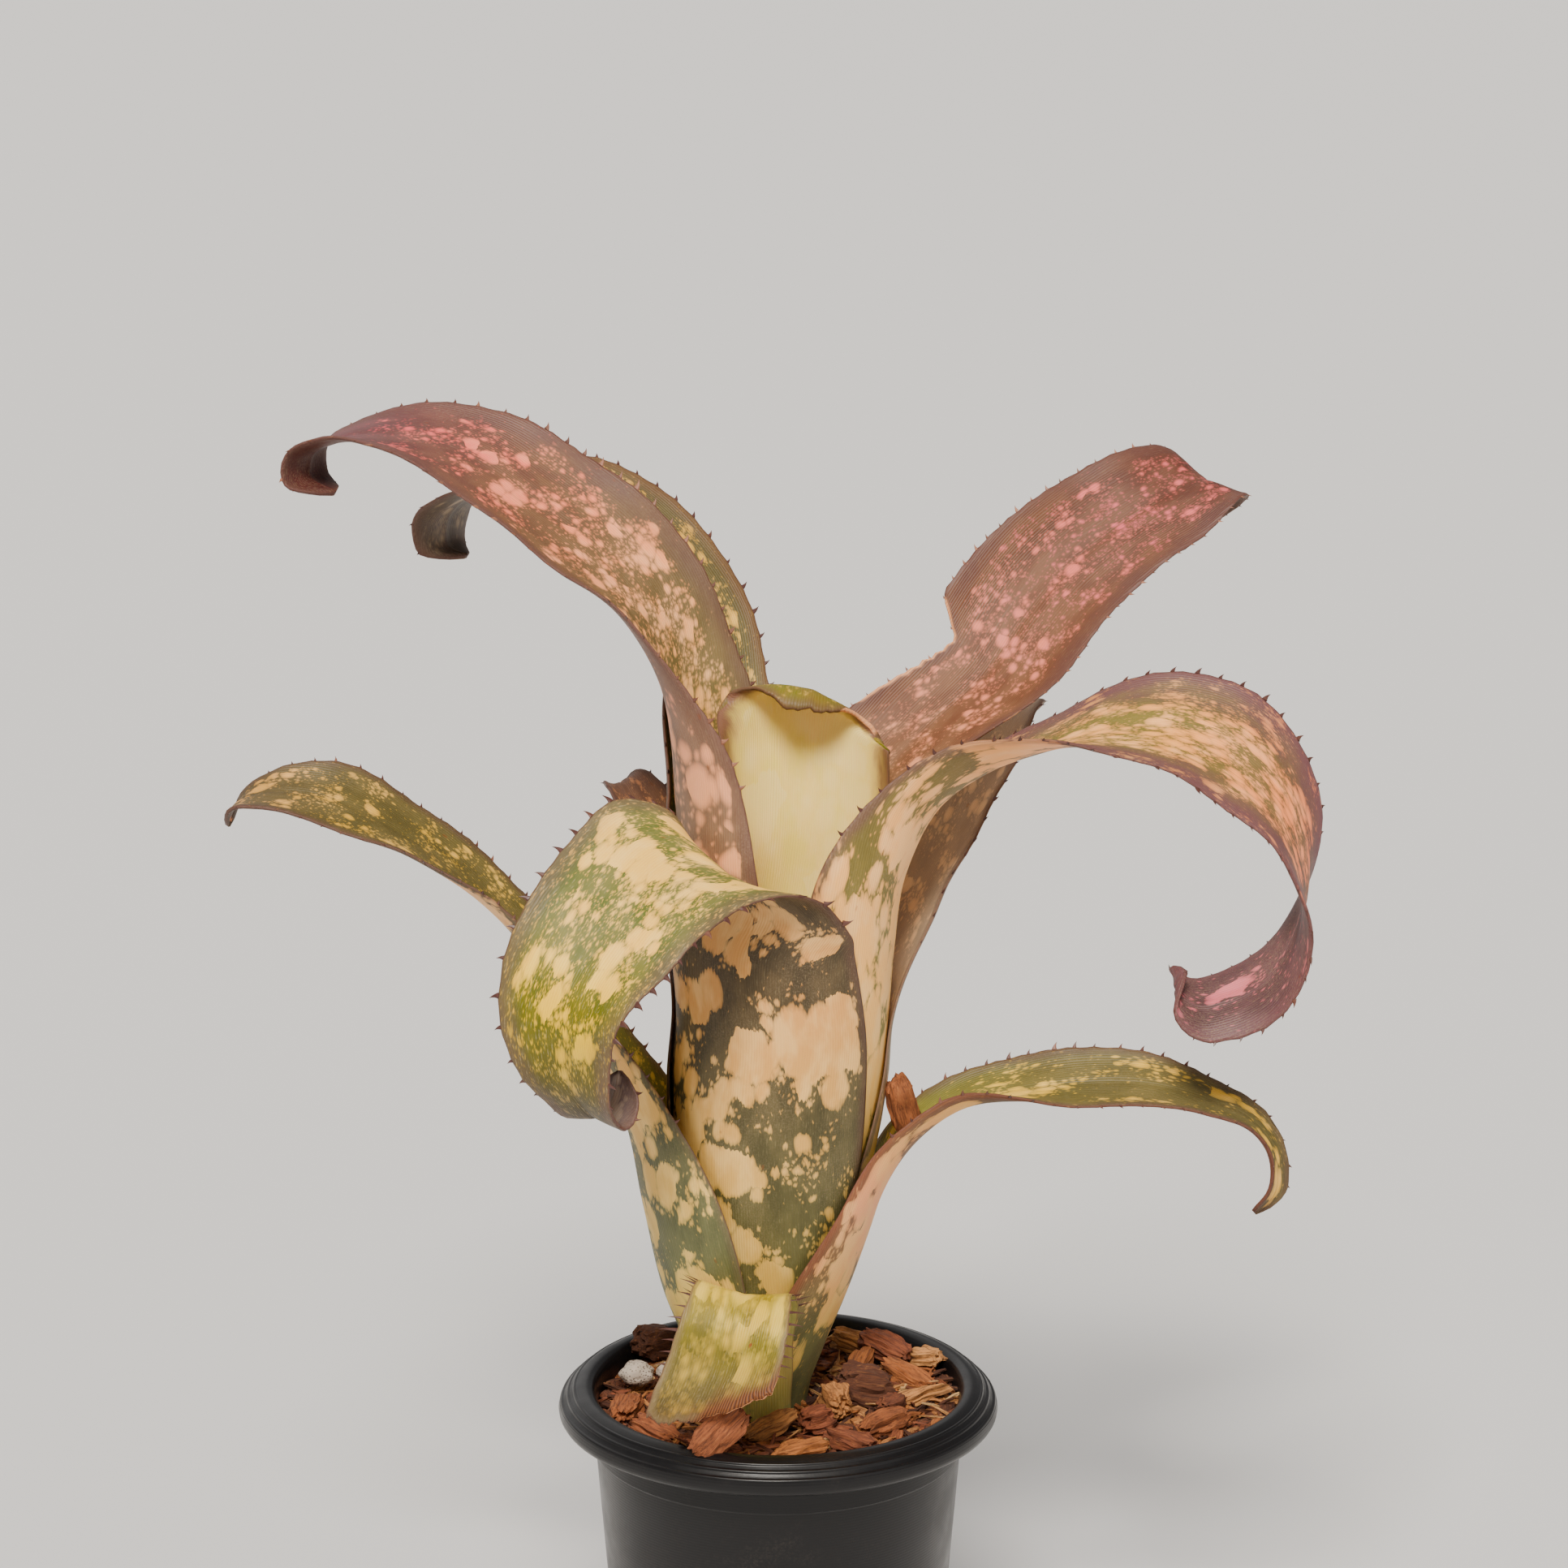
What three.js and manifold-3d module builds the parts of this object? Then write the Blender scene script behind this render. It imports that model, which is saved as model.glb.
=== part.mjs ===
// Potted billbergia: a bromeliad rosette in its black nursery pot.
// Millimetres, +Z up. The origin is the centre of the pot's underside; -Y is the front.
import * as THREE from 'three';
import Module from 'manifold-3d';

const wasm = await Module();
wasm.setup();
const { Manifold, Mesh } = wasm;

const DEG = Math.PI / 180;

// Pot
const POT_HEIGHT = 95;
const POT_WALL = 1.2;
const POT_FLOOR = 1.6;
const POT_BASE_RADIUS = 37.5;
const POT_NECK_RADIUS = 44.3;
const POT_NECK_Z = 86.6;
const RIM_RADIUS = 52.5;
const POT_SEGMENTS = 48;
const POT_BEVEL = 1.5;
const DRAIN_HOLES = 6;
const DRAIN_RADIUS = 4.2;
const DRAIN_RING = 24;
// Outside of the rim with its raised rings, up to the lip: [distance in from the rim's radius, height]
const RIM_OUTLINE = [
  [1.3, 87.4], [0.2, 88.4], [0, 89.8], [0.9, 91.4], [1.5, 91.6], [2.4, 92.6], [3, 92.8],
  [4, 93.7], [4.6, 93.9], [6.4, POT_HEIGHT], [8.2, 94.7],
];
const LIP_DROP_Z = 92.5;

// Bark in the pot
const FIT_GAP = 0.3;
const SOIL_TOP = 89.6;
const SOIL_CROWN = 0.6;
const BARK_SEGMENTS = 32;
// Well in the bark that the plant stands in
const WELL_RADIUS = 15.3;
const WELL_FLARE = 7;
const WELL_FLOOR = 85.7;
const WELL_DEPTH = 30;

// Axis that the leaf sheaths are rolled round; it leans a little to the right
const AXIS_FOOT_X = -5;
const AXIS_LEAN = 0.078;
const AXIS_FOOT_Z = 92;

// Radius of the middle sheath against height
const SHEATH_PROFILE = [
  [92, 9.2], [106, 12.4], [118, 16], [130, 19], [142, 21.8],
  [156, 24.4], [170, 25.6], [186, 25.8], [240, 25.6],
];
const SHEATH_FOOT = 86;
// Height over which the sheaths settle from the pitch at their foot to the pitch at their top
const SHEATH_SETTLE = 60;
// Heights of the sheath's level rows, shared by all leaves
const SHEATH_LEVELS = [92.5, 105, 119, 136, 154, 172, 190];
const LEVEL_ABOVE_FOOT = 4;
const LEVEL_BELOW_TOP = 5;
const PLAIN_STEP = 6;
const SHEATH_THICKNESS = 0.75;
const BLADE_THICKNESS = 0.95;
const LAYER_PITCH_FOOT = 1.25;
const LAYER_PITCH_TOP = 1.35;

const SHEATH_COLUMNS = 12;
const BLADE_COLUMNS = 4;

// Marginal spines
const SPINE_PITCH = 12;
const SPINE_BASE = 1.5;
const SPINE_LENGTH = 2.2;
const SPINE_SWEEP = 0.7;
const SPINE_FROM_TIP = 4.2;
const ROW_FROM_TIP = 3;

// Each leaf: layer counts outwards from the middle sheath, azimuth and spans in degrees,
// drift is how far its sheath stands off towards its own side, nested counts the blade rows that
// still lie inside other leaves, and spineStart is how far past the sheath the spines begin.
// Each blade row is [x, y, z, half width, across x, across y, across z, cup angle].
// A nick is a tear in one margin: from, deepest and to are distances from the leaf's foot, and
// depth is a share of the half width.
const LEAVES = [
  { name: 'leaf_front_low', layer: 4, azimuth: 258, foot: SHEATH_FOOT, top: 114, drift: 3,
    spans: [50, 42, 34], nested: 0, spineStart: 10, colour: 0x8a8f45,
    blade: [
      [-7.5, -26.5, 124, 12.5, 0.97, -0.18, -0.05, 44],
      [-8, -32.5, 129, 11.5, 0.97, -0.18, -0.1, 34],
      [-9.5, -38.5, 125, 12.5, 0.97, -0.18, -0.1, 30],
      [-12.5, -43, 114.5, 13.5, 0.97, -0.18, -0.05, 30],
      [-15, -45.3, 109, 13.8, 0.97, -0.18, 0, 30],
      [-17, -46.6, 105, 13.2, 0.97, -0.18, 0.04, 30],
      [-17.8, -47.2, 103, 12.2, 0.97, -0.18, 0.08, 30],
    ] },
  { name: 'leaf_left_low', layer: 3, azimuth: 185, foot: SHEATH_FOOT, top: 120, drift: 4,
    spans: [105, 94, 86], nested: 1, spineStart: 42, colour: 0x7f8a4e,
    blade: [
      [-31, -2, 140, 31, 0.08, -1, 0, 150],
      [-35, 0, 160, 23, 0.05, -1, 0.05, 136],
      [-43, 2, 178, 15.5, 0.02, -1, 0.1, 118],
      [-63, 4, 207, 13, -0.04, -1, 0.02, 100],
      [-86, 3, 228, 12, -0.09, -0.97, -0.25, 60],
      [-108, 1, 239, 10.5, -0.1, -0.87, -0.49, 36],
      [-118, 0.5, 239.5, 8.5, -0.1, -0.95, -0.3, 30],
      [-125, 0, 237, 6.5, -0.1, -0.98, 0, 30],
      [-127.5, 0, 232, 3.5, -0.3, -0.95, 0.1, 30],
    ] },
  { name: 'leaf_right_low', layer: 2, azimuth: 350, foot: SHEATH_FOOT, top: 142, drift: 0.5,
    spans: [95, 78, 46], nested: 0, spineStart: 18, colour: 0x7f8a4e,
    blade: [
      [33, -4, 158, 13, 0.15, 0.99, 0, 110],
      [43, -2.5, 165, 11.5, 0.1, 1, 0, 105],
      [57, -1, 168, 11, 0.02, 0.98, 0.2, 85],
      [70, -1, 169.5, 10.5, 0, 0.88, 0.48, 55],
      [86, -1, 169.5, 9.5, 0.08, 0.9, 0.44, 45],
      [100, -1.5, 166, 8, 0.2, 0.93, 0.32, 45],
      [112, -1.5, 160, 6.5, 0.4, 0.92, 0, 45],
      [117, -1.5, 152, 5, 0.55, 0.8, -0.25, 45],
      [117, -1.5, 143, 4, 0.55, 0.75, -0.35, 42],
      [112.5, -1.5, 138, 2.5, 0.3, 0.8, -0.5, 40],
    ] },
  { name: 'leaf_back_low', layer: 1, azimuth: 150, foot: SHEATH_FOOT, top: 188, drift: 0,
    spans: [100, 62, 28], nested: 0, spineStart: 16, colour: 0x66703c,
    blade: [
      [-25, 20, 208, 13.5, -0.5, -0.87, 0, 70],
      [-31, 30, 222, 13, -0.5, -0.87, 0, 60],
      [-35.5, 39, 229.5, 11.5, -0.5, -0.87, 0, 50],
      [-38, 46, 231, 8, -0.5, -0.87, 0, 45],
      [-39.5, 50, 227, 4, -0.5, -0.87, 0, 40],
    ] },
  { name: 'leaf_front', layer: 0, azimuth: 242, foot: SHEATH_FOOT, top: 186, drift: 0,
    spans: [110, 86, 72], nested: 1, spineStart: 44, colour: 0x6f8f3f,
    blade: [
      [-10.5, -22, 207, 29.5, 0.88, -0.47, -0.03, 124],
      [-6.5, -24.5, 221, 23, 0.87, -0.32, -0.38, 78],
      [-13, -27, 228.5, 21, 0.82, -0.35, -0.46, 55],
      [-23, -32, 231, 20.5, 0.76, -0.41, -0.51, 45],
      [-31, -42, 227, 20, 0.76, -0.47, -0.45, 38],
      [-39, -51, 219, 19, 0.82, -0.43, -0.37, 32],
      [-45, -57, 210, 17.5, 0.88, -0.46, -0.15, 28],
      [-47.5, -59, 202, 15.5, 0.87, -0.48, 0.03, 25],
      [-47, -58, 193, 13, 0.84, -0.5, 0.15, 22],
      [-44, -54.5, 182.5, 11.5, 0.75, -0.66, 0.05, 20],
      [-39.5, -50.5, 177.5, 9.5, 0.73, -0.68, 0.05, 22],
      [-36.5, -48, 180.5, 7.2, 0.78, -0.62, 0, 26],
      [-35, -47, 187.5, 4.2, 0.82, -0.57, 0, 26],
    ] },
  { name: 'leaf_back_right', layer: -1, azimuth: 48, foot: SHEATH_FOOT, top: 186, drift: 0,
    spans: [110, 88, 58], nested: 0, spineStart: 16, colour: 0x66703c,
    blade: [
      [29, 28, 206, 20, -0.72, 0.68, 0, 90],
      [39, 38, 226, 18, -0.72, 0.68, 0.1, 70],
      [48, 47, 243, 16.5, -0.72, 0.66, 0.2, 50],
      [52.5, 53, 249.5, 14, -0.72, 0.66, 0.2, 40],
      [56.5, 60.5, 249.5, 11, -0.72, 0.66, 0.1, 35],
      [58.5, 66.5, 243, 6, -0.72, 0.68, 0, 30],
    ] },
  { name: 'leaf_right_arch', layer: -2, azimuth: 350, foot: 97, top: 204, drift: 0,
    spans: [115, 92, 78], nested: 2, spineStart: 36, colour: 0x9a9a58,
    blade: [
      [29, -3.5, 222, 29, 0.2, 0.98, 0, 144],
      [36.5, -1.5, 237, 21.5, 0.36, 0.93, -0.06, 112],
      [48, 1, 245, 18.5, 0.3, 0.93, -0.2, 84],
      [62, 2, 250, 18, 0.14, 0.98, -0.08, 60],
      [75, 3, 253.5, 18, 0.12, 0.96, 0.21, 45],
      [92, 3, 253.5, 19, 0.19, 0.87, 0.46, 36],
      [106, 1.5, 248, 19, 0.25, 0.8, 0.55, 30],
      [116, -1, 238, 18.5, 0.28, 0.84, 0.45, 30],
      [121, -3, 225, 17, 0.24, 0.9, 0.34, 30],
      [121.5, -6, 214, 15, 0.12, 0.92, 0.36, 30],
      [119, -8, 206, 13.5, 0, 0.9, 0.43, 30],
      [113, -10, 198, 12, -0.05, 0.87, 0.49, 30],
      [104, -10.5, 193, 11, 0, 0.85, 0.53, 30],
      [96.5, -11, 192, 10, 0, 0.85, 0.53, 30],
      [92, -11, 195.5, 8, 0, 0.85, 0.53, 30],
      [94, -11, 200, 5, 0, 0.85, 0.53, 30],
    ] },
  { name: 'leaf_back_left', layer: -3, azimuth: 130, foot: 101, top: 196, drift: 0,
    spans: [110, 90, 62], nested: 3, spineStart: 52, colour: 0x8d7f5c,
    blade: [
      [-15.7, 18.8, 216, 20.2, -0.77, -0.64, 0, 100],
      [-17, 20.5, 236, 20, -0.77, -0.64, 0.05, 98],
      [-18.5, 25.5, 254, 19, -0.72, -0.69, 0.1, 86],
      [-20, 37.5, 272, 18, -0.56, -0.83, 0.05, 76],
      [-29.5, 49, 287, 19, -0.3, -0.95, -0.1, 70],
      [-44, 59, 296, 18, -0.34, -0.91, -0.2, 58],
      [-60, 68, 299, 17, -0.37, -0.92, -0.15, 48],
      [-75, 75, 297, 15, -0.4, -0.91, -0.03, 38],
      [-82, 79, 290, 12.5, -0.48, -0.87, 0.02, 30],
      [-82, 79.5, 283, 9.5, -0.51, -0.86, 0, 25],
      [-77, 77, 281, 5.5, -0.55, -0.8, 0, 22],
    ] },
  { name: 'leaf_left_high', layer: -4, azimuth: 168, foot: 105, top: 200, drift: 0,
    spans: [115, 92, 90], nested: 3, spineStart: 50, colour: 0x96705a,
    blade: [
      [-21.4, 3.5, 218, 33, -0.14, -0.99, 0, 176],
      [-23, 4.5, 235, 31, -0.14, -0.99, 0, 174],
      [-24, 5, 252, 27.5, -0.2, -0.98, 0, 168],
      [-26, 8.5, 267, 23, -0.3, -0.95, -0.08, 115],
      [-31.5, 13, 281, 21, -0.44, -0.88, -0.16, 88],
      [-42.5, 17.5, 293, 20.5, -0.5, -0.81, -0.3, 74],
      [-57, 21, 304, 19.5, -0.52, -0.8, -0.3, 64],
      [-74, 24, 315, 18, -0.48, -0.83, -0.28, 54],
      [-89, 26, 319, 15.5, -0.34, -0.93, -0.18, 45],
      [-102, 27, 318, 13, -0.28, -0.96, -0.05, 35],
      [-109, 27, 314.5, 11, -0.36, -0.93, 0, 30],
      [-109.5, 25, 309.5, 9, -0.5, -0.86, -0.02, 26],
      [-103, 22, 306, 5.5, -0.48, -0.88, -0.03, 22],
    ] },
  { name: 'leaf_right_high', layer: -5, azimuth: 50, foot: 109, top: 204, drift: 0,
    spans: [115, 92, 70], nested: 2, spineStart: 32, colour: 0x96705a,
    nick: { side: 1, from: 146, deepest: 172, to: 180.5, depth: 0.42 },
    blade: [
      [18, 15.5, 222, 17.5, -0.77, 0.64, 0, 98],
      [24, 21, 236.5, 18, -0.78, 0.62, 0.03, 86],
      [36.5, 28.5, 249, 20, -0.8, 0.58, 0.12, 78],
      [49, 34.5, 260, 20, -0.78, 0.55, 0.3, 68],
      [58, 42, 272, 19.5, -0.77, 0.48, 0.42, 58],
      [68.5, 50, 283, 18.5, -0.76, 0.44, 0.47, 50],
      [81, 56, 292, 17.5, -0.7, 0.51, 0.49, 42],
      [94, 61.5, 299, 16, -0.64, 0.58, 0.5, 35],
      [102.5, 66.5, 302, 14, -0.6, 0.7, 0.35, 28],
      [106, 73, 299.5, 12, -0.62, 0.74, 0.2, 28],
      [104, 79.5, 293, 9.5, -0.66, 0.74, 0.05, 28],
      [99, 82, 287, 6, -0.7, 0.7, 0, 28],
    ] },
  { name: 'leaf_centre', layer: -6, azimuth: 92, foot: 113, top: 208, drift: 0,
    spans: [110, 96, 92], nested: 4, spineStart: 400, colour: 0xcdbd72,
    blade: [
      [5.5, 17.3, 226, 27, -0.99, -0.05, -0.03, 176],
      [6, 18.8, 240, 28, -0.99, -0.03, 0, 172],
      [6.3, 19.8, 251, 27.5, -0.98, 0, 0.1, 156],
      [7, 18.5, 257.5, 24, -0.95, 0, 0.24, 112],
      [8, 13.5, 260.5, 20, -0.95, 0, 0.3, 66],
      [7.5, 8, 258.5, 18, -0.95, 0, 0.31, 42],
      [7, 5.5, 252.5, 15, -0.95, 0, 0.31, 36],
    ] },
];

const clamp = (v, lo, hi) => Math.min(hi, Math.max(lo, v));
const smooth = (t) => t * t * (3 - 2 * t);
const vec = (x, y, z) => new THREE.Vector3(x, y, z);

// Value of a table of [position, value] rows, smoothed through the rows
function profileAt(table, at) {
  const x = clamp(at, table[0][0], table[table.length - 1][0]);
  let i = 0;
  while (i < table.length - 2 && x > table[i + 1][0]) i += 1;
  return hermite(table.map((row) => row[0]), table.map((row) => row[1]), i, x);
}

// Cubic through unevenly spaced knots, in the interval after knot i
function hermite(knots, values, i, x) {
  const slope = (k) => {
    if (k === 0) return (values[1] - values[0]) / (knots[1] - knots[0]);
    const last = knots.length - 1;
    if (k === last) return (values[last] - values[last - 1]) / (knots[last] - knots[last - 1]);
    const before = knots[k] - knots[k - 1];
    const after = knots[k + 1] - knots[k];
    const slopeBefore = (values[k] - values[k - 1]) / before;
    const slopeAfter = (values[k + 1] - values[k]) / after;
    return (slopeBefore * after + slopeAfter * before) / (before + after);
  };
  const span = knots[i + 1] - knots[i];
  const t = (x - knots[i]) / span;
  const t2 = t * t;
  const t3 = t2 * t;
  return (2 * t3 - 3 * t2 + 1) * values[i] + (t3 - 2 * t2 + t) * span * slope(i)
    + (3 * t2 - 2 * t3) * values[i + 1] + (t3 - t2) * span * slope(i + 1);
}

function axisAt(z) {
  return vec(AXIS_FOOT_X + AXIS_LEAN * (Math.max(z, AXIS_FOOT_Z) - AXIS_FOOT_Z), 0, z);
}

function sheathRadius(layer, z) {
  const settle = smooth(clamp((z - AXIS_FOOT_Z) / SHEATH_SETTLE, 0, 1));
  const pitch = LAYER_PITCH_FOOT + (LAYER_PITCH_TOP - LAYER_PITCH_FOOT) * settle;
  return profileAt(SHEATH_PROFILE, z) + layer * pitch;
}

// Rows of the rolled sheath, each a level arc round the leaning axis
function sheathStations(leaf) {
  const rows = [];
  const outward = vec(Math.cos(leaf.azimuth * DEG), Math.sin(leaf.azimuth * DEG), 0);
  const across = vec(-outward.y, outward.x, 0);
  const [spanFoot, spanMiddle, spanTop] = leaf.spans;
  const middle = (leaf.foot + leaf.top) / 2;
  const spanTable = [[leaf.foot, spanFoot], [middle, spanMiddle], [leaf.top, spanTop]];
  const lowest = leaf.foot + LEVEL_ABOVE_FOOT;
  const between = SHEATH_LEVELS.filter((z) => z > lowest && z < leaf.top - LEVEL_BELOW_TOP);
  [leaf.foot, ...between, leaf.top].forEach((z) => {
    const radius = sheathRadius(leaf.layer, z);
    const drift = leaf.drift * smooth(clamp((z - AXIS_FOOT_Z) / (leaf.top - AXIS_FOOT_Z), 0, 1));
    const span = profileAt(spanTable, z);
    rows.push({
      centre: axisAt(z).addScaledVector(outward, radius + drift),
      across: across.clone(),
      inward: outward.clone().negate(),
      half: radius * span * DEG,
      cup: 2 * span,
      thickness: SHEATH_THICKNESS,
    });
  });
  return rows;
}

// Rows of the free blade; the inward direction is square to the midrib's run
function bladeStations(leaf, before) {
  const rows = leaf.blade.map(([x, y, z, half, ax, ay, az, cup]) => ({
    centre: vec(x, y, z),
    across: vec(ax, ay, az).normalize(),
    half,
    cup,
    thickness: BLADE_THICKNESS,
  }));
  rows.forEach((row, i) => {
    const prior = i > 0 ? rows[i - 1].centre : before.centre;
    const next = i < rows.length - 1 ? rows[i + 1].centre : row.centre;
    const along = next.clone().sub(prior).normalize();
    row.inward = along.clone().cross(row.across).normalize();
  });
  return rows;
}

const CHANNELS = [
  (row) => row.centre.x, (row) => row.centre.y, (row) => row.centre.z,
  (row) => row.across.x, (row) => row.across.y, (row) => row.across.z,
  (row) => row.inward.x, (row) => row.inward.y, (row) => row.inward.z,
  (row) => row.half, (row) => row.cup, (row) => row.thickness,
];

// One cross-section of the leaf at a distance along its stations
function rowAt(stations, knots, values, s) {
  let i = 0;
  while (i < stations.length - 2 && s > knots[i + 1]) i += 1;
  const v = values.map((channel) => hermite(knots, channel, i, s));
  const across = vec(v[3], v[4], v[5]).normalize();
  const inward = vec(v[6], v[7], v[8]);
  inward.addScaledVector(across, -inward.dot(across)).normalize();
  return { centre: vec(v[0], v[1], v[2]), across, inward, half: v[9], cup: v[10], thickness: v[11] };
}

// Point of a cross-section: u runs from one margin to the other, side is +1 outside and -1 inside
function sectionPoint(row, u, side) {
  const angle = u * row.cup * DEG / 2;
  const radius = 2 * row.half / (row.cup * DEG);
  const reach = radius + side * row.thickness / 2;
  return row.centre.clone()
    .addScaledVector(row.inward, radius)
    .addScaledVector(row.across, reach * Math.sin(angle))
    .addScaledVector(row.inward, -reach * Math.cos(angle));
}

// Distances along the leaf where cross-sections are cut, and which pairs carry spines
function rowPlan(knots, sheathRows, leaf) {
  const length = knots[knots.length - 1];
  const nestedEnd = sheathRows + leaf.nested;
  const plan = knots.slice(0, nestedEnd).map((s) => ({ s, columns: SHEATH_COLUMNS, spine: false }));
  const sheathEnd = knots[sheathRows - 1];
  const plainFrom = knots[nestedEnd - 1];
  const plainTo = Math.min(sheathEnd + leaf.spineStart, length);
  const plain = Math.max(1, Math.round((plainTo - plainFrom) / PLAIN_STEP));
  for (let i = 1; i < plain; i += 1) {
    plan.push({ s: plainFrom + (plainTo - plainFrom) * i / plain, columns: BLADE_COLUMNS, spine: false });
  }
  for (let s = plainTo; s < length - SPINE_FROM_TIP; s += SPINE_PITCH) {
    plan.push({ s: s - SPINE_BASE / 2, columns: BLADE_COLUMNS, spine: true });
    plan.push({ s: s + SPINE_BASE / 2, columns: BLADE_COLUMNS, spine: false });
    const middle = s + SPINE_PITCH / 2;
    if (middle < length - ROW_FROM_TIP) plan.push({ s: middle, columns: BLADE_COLUMNS, spine: false });
  }
  plan.push({ s: length, columns: BLADE_COLUMNS, spine: false });
  return plan;
}

// Share of the half width that is left of a margin where it is torn; side is +1 or -1
function marginShare(leaf, s, side) {
  const { nick } = leaf;
  if (!nick || nick.side !== side || s <= nick.from || s >= nick.to) return 1;
  const opening = s < nick.deepest
    ? (s - nick.from) / (nick.deepest - nick.from)
    : (nick.to - s) / (nick.to - nick.deepest);
  return 1 - nick.depth * opening;
}

function leafGeometry(leaf) {
  const sheath = sheathStations(leaf);
  const stations = sheath.concat(bladeStations(leaf, sheath[sheath.length - 1]));
  const knots = [0];
  for (let i = 1; i < stations.length; i += 1) {
    knots.push(knots[i - 1] + stations[i].centre.distanceTo(stations[i - 1].centre));
  }
  const values = CHANNELS.map((read) => stations.map(read));
  const rows = rowPlan(knots, sheath.length, leaf).map((step) => ({
    ...rowAt(stations, knots, values, step.s),
    ...step,
  }));

  const points = [];
  const faces = [];
  const put = (p) => {
    points.push(p.x, p.y, p.z);
    return points.length / 3 - 1;
  };
  rows.forEach((row) => {
    row.inner = [];
    row.outer = [];
    for (let j = 0; j <= row.columns; j += 1) {
      const even = 2 * j / row.columns - 1;
      const u = even * marginShare(leaf, row.s, Math.sign(even));
      row.inner.push(put(sectionPoint(row, u, -1)));
      row.outer.push(put(sectionPoint(row, u, 1)));
    }
  });
  const tri = (a, b, c, flip) => faces.push(...(flip ? [a, b, c] : [a, c, b]));
  const joinRows = (low, high, flip) => {
    const split = (low.length - 1) / (high.length - 1);
    const turn = Math.ceil(split / 2);
    for (let j = 0; j < high.length - 1; j += 1) {
      for (let k = 0; k < split; k += 1) {
        const a = low[j * split + k];
        const b = low[j * split + k + 1];
        tri(a, b, k < turn ? high[j] : high[j + 1], flip);
        if (k === turn - 1) tri(b, high[j + 1], high[j], flip);
      }
    }
  };
  const edgeWall = (low, high, end, flip) => {
    const lowIn = low.inner[end ? low.columns : 0];
    const lowOut = low.outer[end ? low.columns : 0];
    const highIn = high.inner[end ? high.columns : 0];
    const highOut = high.outer[end ? high.columns : 0];
    if (!low.spine || marginShare(leaf, low.s, end ? 1 : -1) < 1) {
      tri(lowIn, highIn, highOut, flip);
      tri(lowIn, highOut, lowOut, flip);
      return;
    }
    const tip = spineTip(low, high, end ? 1 : -1);
    const apex = put(tip);
    tri(lowIn, highIn, apex, flip);
    tri(highIn, highOut, apex, flip);
    tri(highOut, lowOut, apex, flip);
    tri(lowOut, lowIn, apex, flip);
  };
  for (let i = 0; i < rows.length - 1; i += 1) {
    joinRows(rows[i].inner, rows[i + 1].inner, false);
    joinRows(rows[i].outer, rows[i + 1].outer, true);
    edgeWall(rows[i], rows[i + 1], false, false);
    edgeWall(rows[i], rows[i + 1], true, true);
  }
  const capRow = (row, flip) => {
    for (let j = 0; j < row.columns; j += 1) {
      tri(row.inner[j], row.outer[j], row.outer[j + 1], flip);
      tri(row.inner[j], row.outer[j + 1], row.inner[j + 1], flip);
    }
  };
  capRow(rows[0], false);
  capRow(rows[rows.length - 1], true);
  return solidFrom(points, faces);
}

// Point of a spine: out along the margin and swept a little towards the leaf's tip
function spineTip(low, high, sign) {
  const angle = sign * low.cup * DEG / 2;
  const out = low.across.clone().multiplyScalar(sign * Math.cos(angle))
    .addScaledVector(low.inward, sign * Math.sin(angle));
  const base = sectionPoint(low, sign, 0).add(sectionPoint(high, sign, 0)).multiplyScalar(0.5);
  const forward = high.centre.clone().sub(low.centre).normalize();
  return base.addScaledVector(out, SPINE_LENGTH).addScaledVector(forward, SPINE_SWEEP);
}

function solidFrom(points, faces) {
  const geometry = new THREE.BufferGeometry();
  geometry.setAttribute('position', new THREE.Float32BufferAttribute(points, 3));
  geometry.setIndex(faces);
  return geometry;
}

function meshOf(name, geometry, colour, roughness) {
  const material = new THREE.MeshStandardMaterial({ color: colour, roughness });
  const mesh = new THREE.Mesh(geometry, material);
  mesh.name = name;
  return mesh;
}

function toManifold(points, faces) {
  return new Manifold(new Mesh({
    numProp: 3,
    vertProperties: new Float32Array(points),
    triVerts: new Uint32Array(faces),
  }));
}

function fromManifold(solid) {
  const mesh = solid.getMesh();
  const points = [];
  for (let i = 0; i < mesh.numVert; i += 1) {
    points.push(
      mesh.vertProperties[i * mesh.numProp],
      mesh.vertProperties[i * mesh.numProp + 1],
      mesh.vertProperties[i * mesh.numProp + 2],
    );
  }
  return solidFrom(points, Array.from(mesh.triVerts));
}

// Closed solid of revolution from [radius, height] points that run anticlockwise in section
function revolve(profile, segments, centreX = () => 0) {
  const points = [];
  const faces = [];
  const rings = profile.map(([r, z]) => {
    if (r === 0) {
      points.push(centreX(z), 0, z);
      return [points.length / 3 - 1];
    }
    const ring = [];
    for (let k = 0; k < segments; k += 1) {
      const angle = 2 * Math.PI * k / segments;
      points.push(centreX(z) + r * Math.cos(angle), r * Math.sin(angle), z);
      ring.push(points.length / 3 - 1);
    }
    return ring;
  });
  const ringCount = rings.length;
  for (let i = 0; i < ringCount; i += 1) {
    const a = rings[i];
    const b = rings[(i + 1) % ringCount];
    if (a.length === 1 && b.length === 1) continue;
    for (let k = 0; k < segments; k += 1) {
      const next = (k + 1) % segments;
      if (a.length === 1) faces.push(a[0], b[next], b[k]);
      else if (b.length === 1) faces.push(a[k], a[next], b[0]);
      else faces.push(a[k], a[next], b[next], a[k], b[next], b[k]);
    }
  }
  return { points, faces };
}

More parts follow.
